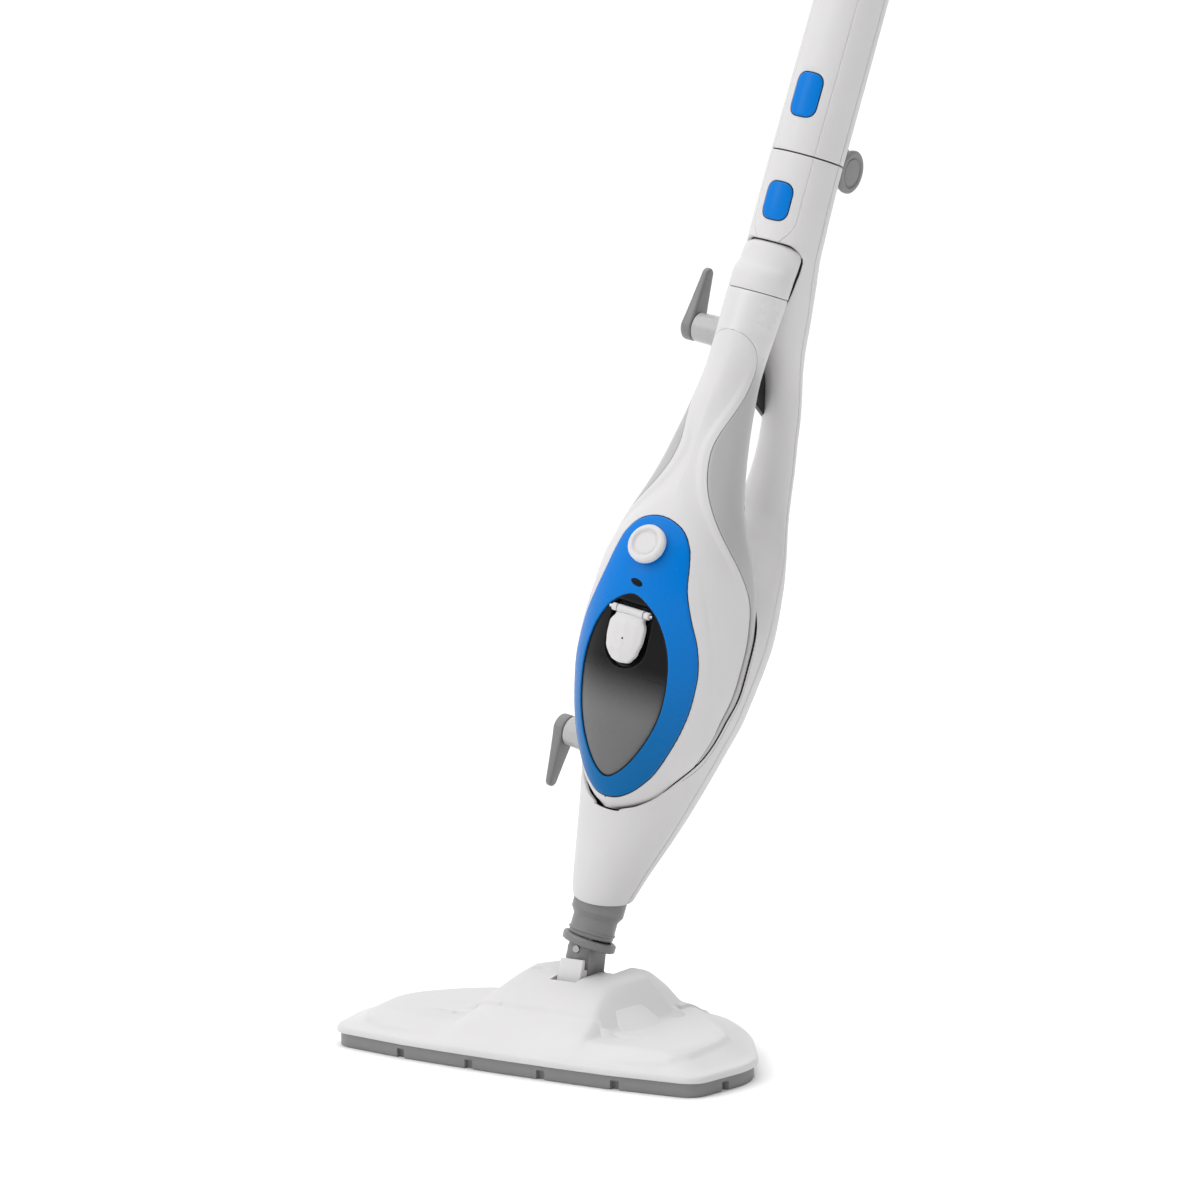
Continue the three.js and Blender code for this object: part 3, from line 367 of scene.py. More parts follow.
def plastic(name, color, roughness, grain=0.06, mottling=0.03, wear=0.05, metallic=0.0,
            grain_scale=900.0, brushed=None, fade=None, specular=0.5):
    """Moulded plastic or metal: fine grain, faint mottling, and edges that are rubbed a little paler.

    fade = (z from, z to, color) turns it into another colour going up the body; the blue and the rear
    shell use it to paint shade.
    """
    mat = bpy.data.materials.new(name)
    mat.use_nodes = True
    tree = mat.node_tree
    shader = tree.nodes["Principled BSDF"]
    link = tree.links.new
    place = tree.nodes.new("ShaderNodeTexCoord")

    cloud = add(tree, "ShaderNodeTexNoise", Scale=9.0, Detail=4.0, Roughness=0.55)
    link(place.outputs["Object"], cloud.inputs["Vector"])
    tint = tree.nodes.new("ShaderNodeValToRGB")
    dark = tuple(c * (1 - mottling) for c in color)
    light = tuple(min(1.0, c * (1 + mottling)) for c in color)
    tint.color_ramp.elements[0].position = 0.3
    tint.color_ramp.elements[0].color = (*dark, 1)
    tint.color_ramp.elements[1].position = 0.7
    tint.color_ramp.elements[1].color = (*light, 1)
    link(cloud.outputs["Fac"], tint.inputs["Fac"])

    base = tint.outputs["Color"]
    if fade:
        base = faded(tree, place, base, *fade)

    shape = tree.nodes.new("ShaderNodeNewGeometry")
    edge = mapped(tree, shape.outputs["Pointiness"], 0.52, 0.62, 0.0, wear)
    paler = tuple(c + (1 - c) * 0.5 for c in color)
    link(mixed(tree, "RGBA", edge, base, (*paler, 1)), shader.inputs["Base Color"])

    smear = add(tree, "ShaderNodeTexNoise", Scale=38.0, Detail=5.0, Roughness=0.6)
    link(place.outputs["Object"], smear.inputs["Vector"])
    gloss = mapped(tree, smear.outputs["Fac"], 0.3, 0.7, roughness * 0.88,
                   min(1.0, roughness * 1.15))
    link(gloss, shader.inputs["Roughness"])

    fine = add(tree, "ShaderNodeTexNoise", Scale=grain_scale, Detail=2.0, Roughness=0.5)
    if brushed:
        stretch = tree.nodes.new("ShaderNodeMapping")
        stretch.inputs["Scale"].default_value = brushed
        link(place.outputs["Object"], stretch.inputs["Vector"])
        link(stretch.outputs["Vector"], fine.inputs["Vector"])
    else:
        link(place.outputs["Object"], fine.inputs["Vector"])
    bump = tree.nodes.new("ShaderNodeBump")
    bump.inputs["Strength"].default_value = grain
    bump.inputs["Distance"].default_value = 0.0002
    link(fine.outputs["Fac"], bump.inputs["Height"])
    link(bump.outputs["Normal"], shader.inputs["Normal"])

    shader.inputs["Metallic"].default_value = metallic
    shader.inputs["Specular IOR Level"].default_value = specular
    mat.diffuse_color = (*color, 1)
    return mat


WHITE = plastic("white_gloss", (0.61, 0.6, 0.602), 0.45, grain=0.03, wear=0.0, specular=0.3)
PALE_GREY = plastic("pale_grey_satin", (0.42, 0.415, 0.415), 0.3, grain=0.06)
MID_GREY = plastic("mid_grey_satin", (0.185, 0.185, 0.185), 0.38, grain=0.12)
BASE_GREY = plastic("base_grey_matte", (0.2, 0.2, 0.205), 0.5, grain=0.2)
# The blue is darker towards the bottom of the body: painted shade where the bezel's lower part turns
# down from the light.
BLUE = plastic("blue_gloss", (0.0, 0.12, 0.34), 0.25, grain=0.02, wear=0.0, specular=0.12,
               fade=(110, 250, (0.0, 0.17, 0.58)))
BLACK = plastic("black_gloss", (0.005, 0.005, 0.006), 0.25, grain=0.03, specular=0.12)
SMOKE = plastic("smoked_gloss", (0.15, 0.15, 0.153), 0.28, grain=0.02, specular=0.12,
                fade=(150, 188, (0.006, 0.006, 0.007)))
RUBBER = plastic("rubber", (0.02, 0.02, 0.022), 0.75, grain=0.3, grain_scale=500)
CIRCUIT = plastic("circuit", (0.012, 0.1, 0.034), 0.5, grain=0.2)
STEEL = plastic("brushed_steel", (0.4, 0.41, 0.42), 0.3, metallic=1.0, grain=0.2,
                brushed=(1, 1, 0.05))
BRASS = plastic("brass", (0.54, 0.37, 0.12), 0.35, metallic=1.0, grain=0.15)
ALUMINIUM = plastic("cast_aluminium", (0.4, 0.41, 0.42), 0.5, metallic=1.0, grain=0.4,
                    grain_scale=350)
# The rear shell is grey up to the neck and white above it; the grey is partly its own paler tone and
# partly painted shade where the rear turns from the light.
SHELL_REAR = plastic("pale_shell_satin", (0.4, 0.395, 0.395), 0.3, grain=0.05,
                     fade=(372, 398, (0.61, 0.6, 0.602)))

SLOT_MATERIALS = {
    "white": WHITE, "pale_grey": PALE_GREY, "mid_grey": MID_GREY, "base_grey": BASE_GREY,
    "blue": BLUE, "black": BLACK, "smoke": SMOKE, "rubber": RUBBER, "circuit": CIRCUIT,
    "steel": STEEL, "brass": BRASS, "aluminium": ALUMINIUM,
}
for part in frame["record"]["subparts"]:
    obj = nodes[part["node"]]
    obj.data.materials.clear()
    obj.data.materials.append(SLOT_MATERIALS[part["material_slot"]])
    shade(obj, 32)


def finish_piece(obj, body, slot, *stands_for, angle=40, material=None):
    """Smooths a piece, gives it its material, ties it to its body, and hides the CAD nodes that it
    stands for.
    """
    shade(obj, angle)
    obj.data.materials.clear()
    obj.data.materials.append(material or SLOT_MATERIALS[slot])
    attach(obj, body)
    if stands_for:
        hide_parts(*stands_for)
    return obj

# ------------------------------------------------------------------ walls that follow a section


def edge_depth(distance, roll):
    """How far a rounded edge has sunk at a distance in from it."""
    inside = np.clip(roll - distance, 0.0, roll)
    return roll - np.sqrt(roll * roll - inside * inside)


def spread(length, count, roll):
    """Places from 0 to length, closer together where the two edges are rounded."""
    r = min(roll, length / 4)
    ends = [0.0, 0.1 * r, 0.35 * r, r]
    middle = [r + (length - 2 * r) * i / count for i in range(1, count)]
    return ends + middle + [length - e for e in reversed(ends)]


SEAM_ROLL = 0.9
SEAM_HALF = 0.4


def wall(name, section, rows, start, end, columns=24, lift=0.0, thick=2.2, roll=0.6,
         rolled_ends=(True, True), relief=None, hole=None, seam=None, slant=None, place=BODY):
    """A closed wall that follows a section on both sides of the middle.

    At each height the right side runs from angle start to angle end; an angle of 90 or -90 degrees
    is the middle, where the two sides join. All free edges are rounded. A seam is an angle at
    which a groove runs down the wall, and slant(y, z) moves a point up or down.
    """
    low, high = rows[0], rows[-1]
    outer, inner, closed_start, closed_end = [], [], [], []
    for z in rows:
        values = section(z)
        a, b = start(z), end(z)
        size = (values[0] + abs(values[3] - values[2]) / 2) / 2
        length = max(abs(b - a) * size, 0.02)
        at_start = abs(abs(a) - math.pi / 2) < 1e-6
        at_end = abs(abs(b) - math.pi / 2) < 1e-6
        closed_start.append(at_start)
        closed_end.append(at_end)
        row_depth = 0.0
        if rolled_ends[0]:
            row_depth = max(row_depth, float(edge_depth(z - low, roll)))
        if rolled_ends[1]:
            row_depth = max(row_depth, float(edge_depth(high - z, roll)))
        line, inside = [], []
        places = spread(length, columns, roll)
        groove = None
        if seam is not None:
            groove = length * min(max((seam - a) / (b - a), 0.3), 0.9)
            before = spread(groove - SEAM_HALF, columns // 2, SEAM_ROLL)
            after = spread(length - groove - SEAM_HALF, columns // 2, SEAM_ROLL)
            places = before + [groove + SEAM_HALF + s for s in after]
        for s in places:
            angle = a + (b - a) * s / length
            depth = row_depth
            if groove is not None:
                depth = max(depth, float(edge_depth(max(abs(s - groove) - SEAM_HALF, 0.0), SEAM_ROLL)))
            if not at_start:
                depth = max(depth, float(edge_depth(s, min(roll, length / 4))))
            if not at_end:
                depth = max(depth, float(edge_depth(length - s, min(roll, length / 4))))
            x, y = ring_point(values, angle, lift - depth)
            if relief:
                x, y = ring_point(values, angle, lift - depth + relief(x, y, z))
            level = z
            if slant:
                level = slant(y, z)
                x, y = ring_point(section(level), angle, lift - depth)
            line.append((x, y, level))
            x, y = ring_point(section(level), angle, lift - thick)
            inside.append((x, y, level))
        outer.append(line)
        inner.append(inside)
    if hole is not None:
        sink_at_hole(outer, hole, roll)

    count = len(outer[0])
    points, faces = [], []
    for mirror in (1, -1):
        base = len(points)
        for line in outer + inner:
            points.extend((mirror * x, y, z) for x, y, z in line)
        rows_made = len(rows)
        under = base + rows_made * count
        faces += grid_faces(rows_made, count, start=base)
        faces += grid_faces(rows_made, count, start=under)
        for i in range(rows_made - 1):
            for column, closed in ((0, closed_start), (count - 1, closed_end)):
                if not (closed[i] and closed[i + 1]):
                    a = base + i * count + column
                    faces.append((a, a + count, a + count + under - base, a + under - base))
        for i in (0, rows_made - 1):
            for j in range(count - 1):
                a = base + i * count + j
                faces.append((a, a + 1, a + 1 + under - base, a + under - base))
    return weld(make_object(name, points, faces, place))


def sink_at_hole(rows, hole, roll):
    """Rounds a wall's edge where it runs along an outline of (x, z) points."""
    line = np.array(hole)
    for row in rows:
        pts = np.array([(x, z) for x, _, z in row])
        near = np.min(np.hypot(pts[:, None, 0] - line[None, :, 0],
                               pts[:, None, 1] - line[None, :, 1]), axis=1)
        for j, distance in enumerate(near):
            x, y, z = row[j]
            row[j] = (x, y + float(edge_depth(distance, roll)), z)


def catmull(points, steps):
    """A smooth closed outline through points."""
    count = len(points)
    made = []
    for i in range(count):
        p = [np.array(points[(i + k - 1) % count], float) for k in range(4)]
        for s in range(steps):
            t = s / steps
            made.append(tuple(0.5 * (2 * p[1] + (p[2] - p[0]) * t
                                     + (2 * p[0] - 5 * p[1] + 4 * p[2] - p[3]) * t * t
                                     + (3 * p[1] - p[0] - 3 * p[2] + p[3]) * t ** 3)))
    return made


def mirrored_outline(half, steps):
    """A smooth closed outline from its right half, given from the bottom middle to the top middle."""
    left = [(-x, z) for x, z in half[-2:0:-1]]
    return catmull(half + left, steps)


def resample(outline, count):
    """The same outline with evenly spaced points, starting at its lowest middle point."""
    pts = np.array(outline)
    closed = np.vstack([pts, pts[:1]])
    along = np.concatenate([[0], np.cumsum(np.hypot(*np.diff(closed, axis=0).T))])
    at = np.linspace(0, along[-1], count, endpoint=False)
    return np.stack([np.interp(at, along, closed[:, k]) for k in (0, 1)], axis=1)


def offset(outline, distance):
    """An outline moved inward by a distance (outward when negative)."""
    ahead, behind = np.roll(outline, -1, axis=0), np.roll(outline, 1, axis=0)
    along = ahead - behind
    along /= np.maximum(np.hypot(along[:, 0], along[:, 1])[:, None], 1e-9)
    normal = np.stack([-along[:, 1], along[:, 0]], axis=1)
    return outline + normal * distance


def patch(name, outline, surface, hole=None, rings=12, thick=2.0, roll=0.6, place=BODY):
    """A closed plate on a surface y(x, z, depth), from an outline in to a hole or to its middle.

    Both outlines run counterclockwise seen from the front, with equally many points.
    """
    count = len(outline)
    middle = np.mean(outline, axis=0)
    inner = offset(hole, -roll) if hole is not None else None
    rim = offset(outline, roll)
    loops = []
    for d in (0.0, 0.1, 0.35):
        loops.append((offset(outline, d * roll), float(edge_depth(d * roll, roll))))
    for i in range(rings + 1):
        t = i / rings
        if inner is not None:
            loops.append((rim * (1 - t) + inner * t, 0.0))
        elif i < rings:
            loops.append((rim * (1 - t) + middle * t, 0.0))
    if hole is not None:
        for d in (0.35, 0.1, 0.0):
            loops.append((offset(hole, -d * roll), float(edge_depth(d * roll, roll))))
    points, faces = [], []
    for flat, depth in loops:
        points.extend((x, surface(x, z) + depth, z) for x, z in flat)
    faces += grid_faces(len(loops), count, closed=True)
    back = len(points)
    ends = [loops[0][0], loops[-1][0]]
    for flat in ends:
        points.extend((x, surface(x, z) + thick, z) for x, z in flat)
    last = (len(loops) - 1) * count
    for j in range(count):
        k = (j + 1) % count
        faces.append((j, k, back + k, back + j))
        faces.append((back + j, back + k, back + count + k, back + count + j))
        if hole is not None:
            faces.append((last + j, last + k, back + count + k, back + count + j))
    if hole is None:
        faces.append(tuple(last + j for j in range(count)))
        faces.append(tuple(back + count + j for j in range(count)))
    return weld(make_object(name, points, faces, place))


def on_section(section, lift=0.0):
    return lambda x, z: float(face_y(section(z), x, lift))


def shade_gap_strip(name, outer, inner, section, depth, body):
    """A black strip of painted shade at the bottom of the gap between two outlines, which darkens the
    gap.
    """
    strip = patch(name, outer, on_section(section, -depth), hole=inner, rings=1, thick=1.2,
                  roll=0.02)
    finish_piece(strip, body, "black")


def outline_x(outline, z):
    """Half width of a mirrored outline at a height, or 0 outside it."""
    pts = np.array(outline)
    right = pts[pts[:, 0] >= -1e-6]
    order = np.argsort(right[:, 1])
    right = right[order]
    if z <= right[0, 1] or z >= right[-1, 1]:
        return 0.0
    return max(float(np.interp(z, right[:, 1], right[:, 0])), 0.0)


def front_angle(section, z, x):
    """The angle at which a section's front side is at x."""
    return -math.acos(min(max(x / section(z)[0], 0.0), 1.0)) if x > 0 else -math.pi / 2


def rear_angle(section, z, x):
    return math.acos(min(max(x / section(z)[0], 0.0), 1.0)) if x > 0 else math.pi / 2


def dense(low, high, coarse, *places, fine=0.35, reach=5.0):
    """Heights from low to high, closer together near the given places."""
    made = [low]
    while made[-1] < high:
        z = made[-1]
        near = min([abs(z - p) for p in places] + [reach])
        made.append(z + fine + (coarse - fine) * (near / reach) ** 0.8)
    made[-1] = high
    return made


def ends_rolled(rows, roll=0.6):
    """The same heights, with extra ones inside the two rounded ends."""
    low, high = rows[0], rows[-1]
    inside = [z for z in rows if low + roll < z < high - roll]
    steps = [0.0, 0.1 * roll, 0.35 * roll, roll]
    return [low + s for s in steps] + inside + [high - s for s in reversed(steps)]


FRONT = -math.pi / 2
REAR = math.pi / 2

# ------------------------------------------------------------------ handheld steamer

BEZEL_HALF = [(0, 101), (9, 103), (18, 109.5), (27, 121), (34, 135), (40, 152), (44, 171),
              (45, 190), (42, 208), (36, 224), (30.5, 240), (27.5, 254), (23.5, 266.5),
              (14.5, 276.6), (0, 280.6)]
WINDOW_HALF = [(0, 113), (8, 117), (16.5, 127), (24.5, 142), (29.8, 159), (31.6, 178),
               (29.8, 195), (24.5, 209.5), (15, 222), (0, 229.6)]
bezel_outline = resample(mirrored_outline(BEZEL_HALF, 12), 288)
window_outline = resample(mirrored_outline(WINDOW_HALF, 12), 288)
shell_hole = offset(bezel_outline, -0.6)


def handheld_end(z):
    return front_angle(handheld_section, z, outline_x(shell_hole, z))


# The front shell's side edge, as angles in degrees. It comes forward in the waist, goes back at the
# neck, and closes there in an arc across the front.
SIDE_EDGE = -2.0
WAIST_EDGE = -63.0
NECK_EDGE = -14.0
WAIST_Z = 326.0
SHELL_ARC_Z = 405.2
SHELL_ARC_RADIUS = 24.0


def shell_edge(z):
    """The angle of the front shell's side edge at a height."""
    if z >= SHELL_ARC_Z - 0.01:
        return FRONT
    forward = (WAIST_EDGE - SIDE_EDGE) * float(smoothstep(z, 232, WAIST_Z))
    back = (NECK_EDGE - WAIST_EDGE) * float(smoothstep(z, WAIST_Z, 384))
    into = max(z - (SHELL_ARC_Z - SHELL_ARC_RADIUS), 0.0) / SHELL_ARC_RADIUS
    closing = (-90.0 - NECK_EDGE) * (1 - math.sqrt(1 - into * into))
    return math.radians(SIDE_EDGE + forward + back + closing)


def shoulder(x, y, z):
    """A rolled border along the waist's edge with a soft valley inside it, and a shoulder below."""
    half, mid, front, _ = handheld_section(z)
    if y >= mid:
        return 0.0
    angle = math.atan2((y - mid) / (mid - front), abs(x) / half)
    inward = (shell_edge(z) - angle) * (half + mid - front) / 2
    valley = float(smoothstep(inward, 3, 8) * (1 - smoothstep(inward, 9, 22)))
    waist = float(smoothstep(z, 235, 275) * (1 - smoothstep(z, 372, 396)))
    outline = 14 + 36 * float(smoothstep(330 - z, 0, 150)) - 18 * float(smoothstep(150 - z, 0, 50))
    beside = float(smoothstep(abs(x) - outline, 0.0, 3.0))
    belly = float(smoothstep(z, 112, 150) * (1 - smoothstep(z, 225, 262)))
    return -1.2 * valley * waist - 0.8 * beside * belly


CAP_CORNER = 8.0


def cap_half(z):
    """Half width of the handheld's end, whose upper corners are rounded."""
    half = handheld_section(z)[0]
    into = min(max(z - (DOCK_TOP_Z - CAP_CORNER), 0.0), CAP_CORNER)
    return half - CAP_CORNER + math.sqrt(CAP_CORNER ** 2 - into ** 2)


def make_handheld_shells():
    rows = ends_rolled(dense(93.6, SHELL_ARC_Z, 2.2, 101, 281, SHELL_ARC_Z, fine=0.3, reach=8))
    front = wall("handheld_shell_front", handheld_section, rows, shell_edge, handheld_end,
                 columns=40, hole=shell_hole, roll=0.5, relief=shoulder, rolled_ends=(False, False))
    finish_piece(front, "handheld", "white", "handheld_front")
    rows = ends_rolled(dense(93.6, END_CAP_Z - 0.2, 2.5, SHELL_ARC_Z, fine=0.3, reach=8))
    rear = wall("handheld_shell_rear", handheld_section, rows, lambda z: REAR,
                lambda z: max(shell_edge(z) + 0.012, FRONT) if z < SHELL_ARC_Z else FRONT,
                columns=34, roll=0.5, rolled_ends=(False, True))
    finish_piece(rear, "handheld", "pale_grey", "handheld_rear", material=SHELL_REAR)


def make_end_cap():
    low = END_CAP_Z + 0.2
    rings = []
    levels = [(low, -0.6), (low + 0.1, -0.2), (low + 0.5, 0)]
    levels += [(z, 0) for z in heights(436, 456, 2.5) + heights(457, 462.5, 0.8)]
    levels += [(463.2, -0.2), (464, -0.6), (464.6, -1.2), (DOCK_TOP_Z, -2.4)]
    for z, grow in levels:
        share = cap_half(min(z, 464.2)) / handheld_section(z)[0]
        rings.append([(x * share, y, z) for x, y in section_ring(handheld_section, z, grow)])
    cap = closed_stack("end_cap_moulding", rings)
    finish_piece(bevel(cap, 0.3, 2), "handheld", "white", "end_cap")


def make_bezel():
    """The blue bezel, the black strips of painted shade along its two edges, and the indicator in it.
    """
    bezel = patch("bezel_ring", bezel_outline, on_section(handheld_section, 0.8),
                  hole=window_outline, rings=20, thick=3.0, roll=0.9)
    dial_hole = bore(4.4, dial_point(0), dial_point(10), -20, 20, sides=96)
    lamp_hole = slab("hole", lamp_outline(0.25), -80, -40)
    cut(bezel, dial_hole, lamp_hole)
    finish_piece(bezel, "handheld", "blue", "blue_bezel", angle=50)
    # Black strips of painted shade darken the gaps at the bezel's outer and inner edges.
    shade_gap_strip("bezel_outer_gap_shade", shell_hole, offset(bezel_outline, 0.1), handheld_section, 0.35,
             "handheld")
    shade_gap_strip("bezel_inner_gap_shade", offset(window_outline, -0.2), offset(window_outline, 0.9),
             handheld_section, 0.25, "handheld")
    lamp = patch("indicator_lens_cap", resample(lamp_outline(0), 64),
                 on_section(handheld_section, 1.0), thick=3.4, roll=0.5)
    finish_piece(lamp, "handheld", "black", "indicator_lens")


DIAL_CENTRE = Vector((0, -60.2, 261))
DIAL_TILT = math.radians(16)


def dial_point(distance):
    out = Vector((0, -math.cos(DIAL_TILT), math.sin(DIAL_TILT)))
    return DIAL_CENTRE + out * distance


def lamp_outline(grow):
    """A small slanted oval."""
    lean = math.radians(12)
    points = []
    for j in range(48):
        angle = 2 * math.pi * j / 48
        x, z = (4.3 + grow) * math.cos(angle), (1.9 + grow) * math.sin(angle)
        points.append((x * math.cos(lean) + z * math.sin(lean),
                       237 - x * math.sin(lean) + z * math.cos(lean)))
    return points


TANK_TOP_Z = 180.0
POCKET_Z = 198.0


def cap_pocket(x, z):
    """How far the black surround sinks behind the filler cap."""
    from_middle = math.hypot(x, min(z - POCKET_Z, 0.0))
    return (1 - float(smoothstep(from_middle, 12.6, 16.2))) * (1 - float(smoothstep(z, 220, 225)))


def window_face(x, z):
    face = float(face_y(handheld_section(z), x, -0.4))
    facet = 0.05 * max(0.0, x + 9) * (1 - float(smoothstep(z, 165, 185)))
    depth = cap_pocket(x, z)
    return (face + min(facet, 1.6)) * (1 - depth) + depth * max(face + 6.5, -53.0)


def make_window():
    """The smoked tank below and the black surround of the filler above, which meet in one face."""
    inner = offset(window_outline, 0.35)
    half = outline_x(inner, TANK_TOP_Z)

    def turning(points):
        return sorted(points, key=lambda p: math.atan2(p[1] - TANK_TOP_Z, p[0]))

    lower = turning(tuple(p) for p in inner if p[1] < TANK_TOP_Z)
    upper = turning(tuple(p) for p in inner if p[1] > TANK_TOP_Z)
    tank_outline = [(-half, TANK_TOP_Z), *lower, (half, TANK_TOP_Z)]
    well_outline = [(half, TANK_TOP_Z + 0.02), *upper, (-half, TANK_TOP_Z + 0.02)]
    for name, outline, slot, node in (
            ("smoked_tank", tank_outline, "smoke", "water_tank"),
            ("filler_surround", well_outline, "black", "filler_well")):
        made = patch(name, resample(outline, 240), window_face, rings=36, thick=2.0, roll=0.25)
        finish_piece(made, "handheld", slot, node, material=SMOKE)


CAP_HINGE_Y, CAP_HINGE_Z = -59.5, 218.5


def make_filler_cap():
    """A shield-shaped cap that hangs from its hinge barrel between two lugs."""
    y, z = CAP_HINGE_Y, CAP_HINGE_Z
    half = [(0, z - 33), (6, z - 32), (11, z - 26), (13, z - 17), (13, z - 8), (10.4, z - 4.2),
            (10.2, z - 2), (0, z - 2)]
    outline = rounded(half + [(-x, h) for x, h in half[-2:0:-1]], 2.0, 4)

    def face(x, h):
        lean = np.interp(h, [z - 32.4, z - 24, z - 8, z - 2], [1.2, -2.6, -3.5, -2.0])
        crease = 0.10 * abs(x) + 0.9 * float(smoothstep(abs(x), 7.5, 12.5))
        return y + float(lean) + crease

    shield = patch("cap_shield", resample(outline, 200), face, rings=16, thick=3.6, roll=0.9)
    dimple = bore(0.8, (0.4, y - 2.6, z - 17.5), (0.4, y - 12, z - 17.5), -9, 9, sides=24)
    cut(shield, dimple)
    finish_piece(shield, "filler_lid", "white", "filler_cap", angle=30)
    barrel = lathe("cap_barrel", [(1.3, 0), (2.5, 0), (2.5, 19), (1.3, 19)], (-9.5, y, z),
                   (9.5, y, z), sides=48, radius=0.4)
    finish_piece(barrel, "filler_lid", "white")
    for side in (-1, 1):
        lug = lathe("cap_lug", [(1.3, 0), (2.4, 0), (2.4, 3.6), (1.3, 3.6)],
                    (side * 10.2, y, z), (side * 13.8, y, z), sides=48, radius=0.8)
        lug.name = f"cap_lug_{side + 2}"
        finish_piece(lug, "handheld", "white")


def make_dial():
    """A round knob with a raised rim and a dished middle, hollow round its shaft."""
    profile = [(0, 5.0), (6.6, 4.8), (8.0, 4.3), (9.4, 5.9), (11.2, 5.9), (12.5, 4.7), (12.6, 1.4),
               (2.75, 1.4), (2.75, 3.4), (0, 3.4)]
    knob = lathe("dial_knob", profile, dial_point(0), dial_point(1), sides=128, radius=0.45)
    finish_piece(knob, "dial", "white", "steam_dial", angle=35)


make_handheld_shells()
make_end_cap()
make_bezel()
make_window()
make_filler_cap()
make_dial()

# ------------------------------------------------------------------ frame

DOCK_FLOOR_Z = 92.5
DOCK_ROUND_Z = 99.0
DOCK_LOWER_TOP_Z = 262.0
DOCK_UPPER_Z = 408.0
BOOT_COVER_Z = 43.6
REAR_SCREWS_Z = (64, 150, 232)
BOOT_RIM_Z = 35.6
BOOT_SLOPE = 0.263
ROOM = 0.8
NECK_ROOM = 2.6
RIM_GAP = 1.2


def room_at(z):
    """The gap round the handheld, which widens along its neck down to the hand gap."""
    return ROOM + (NECK_ROOM - ROOM) * float(smoothstep(448 - z, 0, 45))


def in_handheld_room(x, y, z):
    """Whether a point lies in the room that the handheld needs to come forward out of its dock."""
    if not DOCK_FLOOR_Z <= z <= DOCK_TOP_Z + ROOM:
        return False
    _, mid, front, rear = handheld_section(min(max(z, 93), DOCK_TOP_Z))
    room = room_at(z) if z > 300 else ROOM - 0.4 * (1 - float(smoothstep(z, 100, 125)))
    limit = cap_half(min(max(z - ROOM, 93), DOCK_TOP_Z)) + room
    if z < DOCK_ROUND_Z:
        into = (DOCK_ROUND_Z - z) / (DOCK_ROUND_Z - DOCK_FLOOR_Z)
        limit = min(limit, (handheld_section(DOCK_ROUND_Z)[0] + 0.5) * math.sqrt(1 - into * into))
    if abs(x) >= limit - 1e-6:
        return False
    if y < mid:
        return True
    return y < mid + (rear - mid + room) * math.sqrt(1 - (x / limit) ** 2)


def first_hit(section, z, start, test, steps=240):
    """Going from angle start to the front, the first angle at which a section meets a test."""
    values = section(z)
    last = start
    for i in range(1, steps + 1):
        angle = start + (FRONT - start) * i / steps
        x, y = ring_point(values, angle)
        if test(x, y, z):
            low, high = last, angle
            for _ in range(14):
                middle = (low + high) / 2
                if test(*ring_point(values, middle), z):
                    high = middle
                else:
                    low = middle
            return low
        last = angle
    return FRONT


def panel_half(side, z):
    """Half width of the pole's front panel at a height, or 0 beyond its end."""
    far = JOINT_Z + side * (JOINT_Z - DOCK_TOP_Z - 1 if side < 0 else 120)
    into = side * (far - z)
    if into < 0:
        return 0.0
    return 8 + 7 * math.sin(math.pi / 2 * min(into / 15, 1.0))


def frame_front(z):
    """The angle of the frame shell's front edge: beside the panel, or round the dock."""
    if z > DOCK_TOP_Z + ROOM:
        half = panel_half(-1, z)
        return front_angle(frame_section, z, half + 0.3) if half else FRONT
    edge = first_hit(frame_section, z, REAR, in_handheld_room)
    if edge <= FRONT + 0.01:
        return FRONT
    return edge + rim_gap(z)


def rim_gap(z):
    """How far the dock's rim is kept back, as an angle, to leave a line beside the handheld where a
    black strip of painted shade shows.
    """
    half, mid, front, _ = frame_section(z)
    fade = float(smoothstep(z, 108, 135)) * (1 - float(smoothstep(z, DOCK_TOP_Z - 9, DOCK_TOP_Z)))
    return RIM_GAP * fade / ((half + mid - front) / 2)


def frame_rear(z):
    """The angle of the frame shell's rear edge, beside the rear cover."""
    if z < BOOT_COVER_Z:
        return REAR
    return rear_angle(frame_section, z, rear_cover_half(z)[0] + 0.3)


def boot_slant(y, z):
    """Tilts the boot's lower rim, so that it is higher at the back."""
    return z + BOOT_SLOPE * y * (1 - float(smoothstep(z, BOOT_RIM_Z, 80)))


def make_gap_shade_wall(name, low, high):
    """A black wall of painted shade behind the handheld, seen in the gap between it and the dock."""
    def section(z):
        half, mid, front, rear = handheld_section(z)
        room = room_at(z) if z > 300 else ROOM
        return half + room, mid, front, rear + room

    def outside(x, y, z):
        half, mid, front, rear = frame_section(z)
        depth = mid - front if y < mid else rear - mid
        return (x / (half - 1)) ** 2 + ((y - mid) / (depth - 1)) ** 2 > 1

    def end(z):
        return max(first_hit(section, z, REAR, outside), math.radians(-8))

    rows = [z for z in heights(low, high, 2.5) if end(z) < REAR - 0.05]
    liner = wall(name, section, rows, lambda z: REAR, end, columns=24, lift=1.2, thick=1.2, roll=0.2)
    finish_piece(liner, "frame", "black")


def make_rim_shade_strip(name, low, high):
    """A black strip of painted shade along the dock's rim."""
    seal = wall(name, frame_section, heights(low, high, 2.5), lambda z: frame_front(z) + 0.01,
                lambda z: frame_front(z) - 1.2 * rim_gap(z), columns=6, lift=-0.5, thick=0.6, roll=0.1)
    finish_piece(seal, "frame", "black")


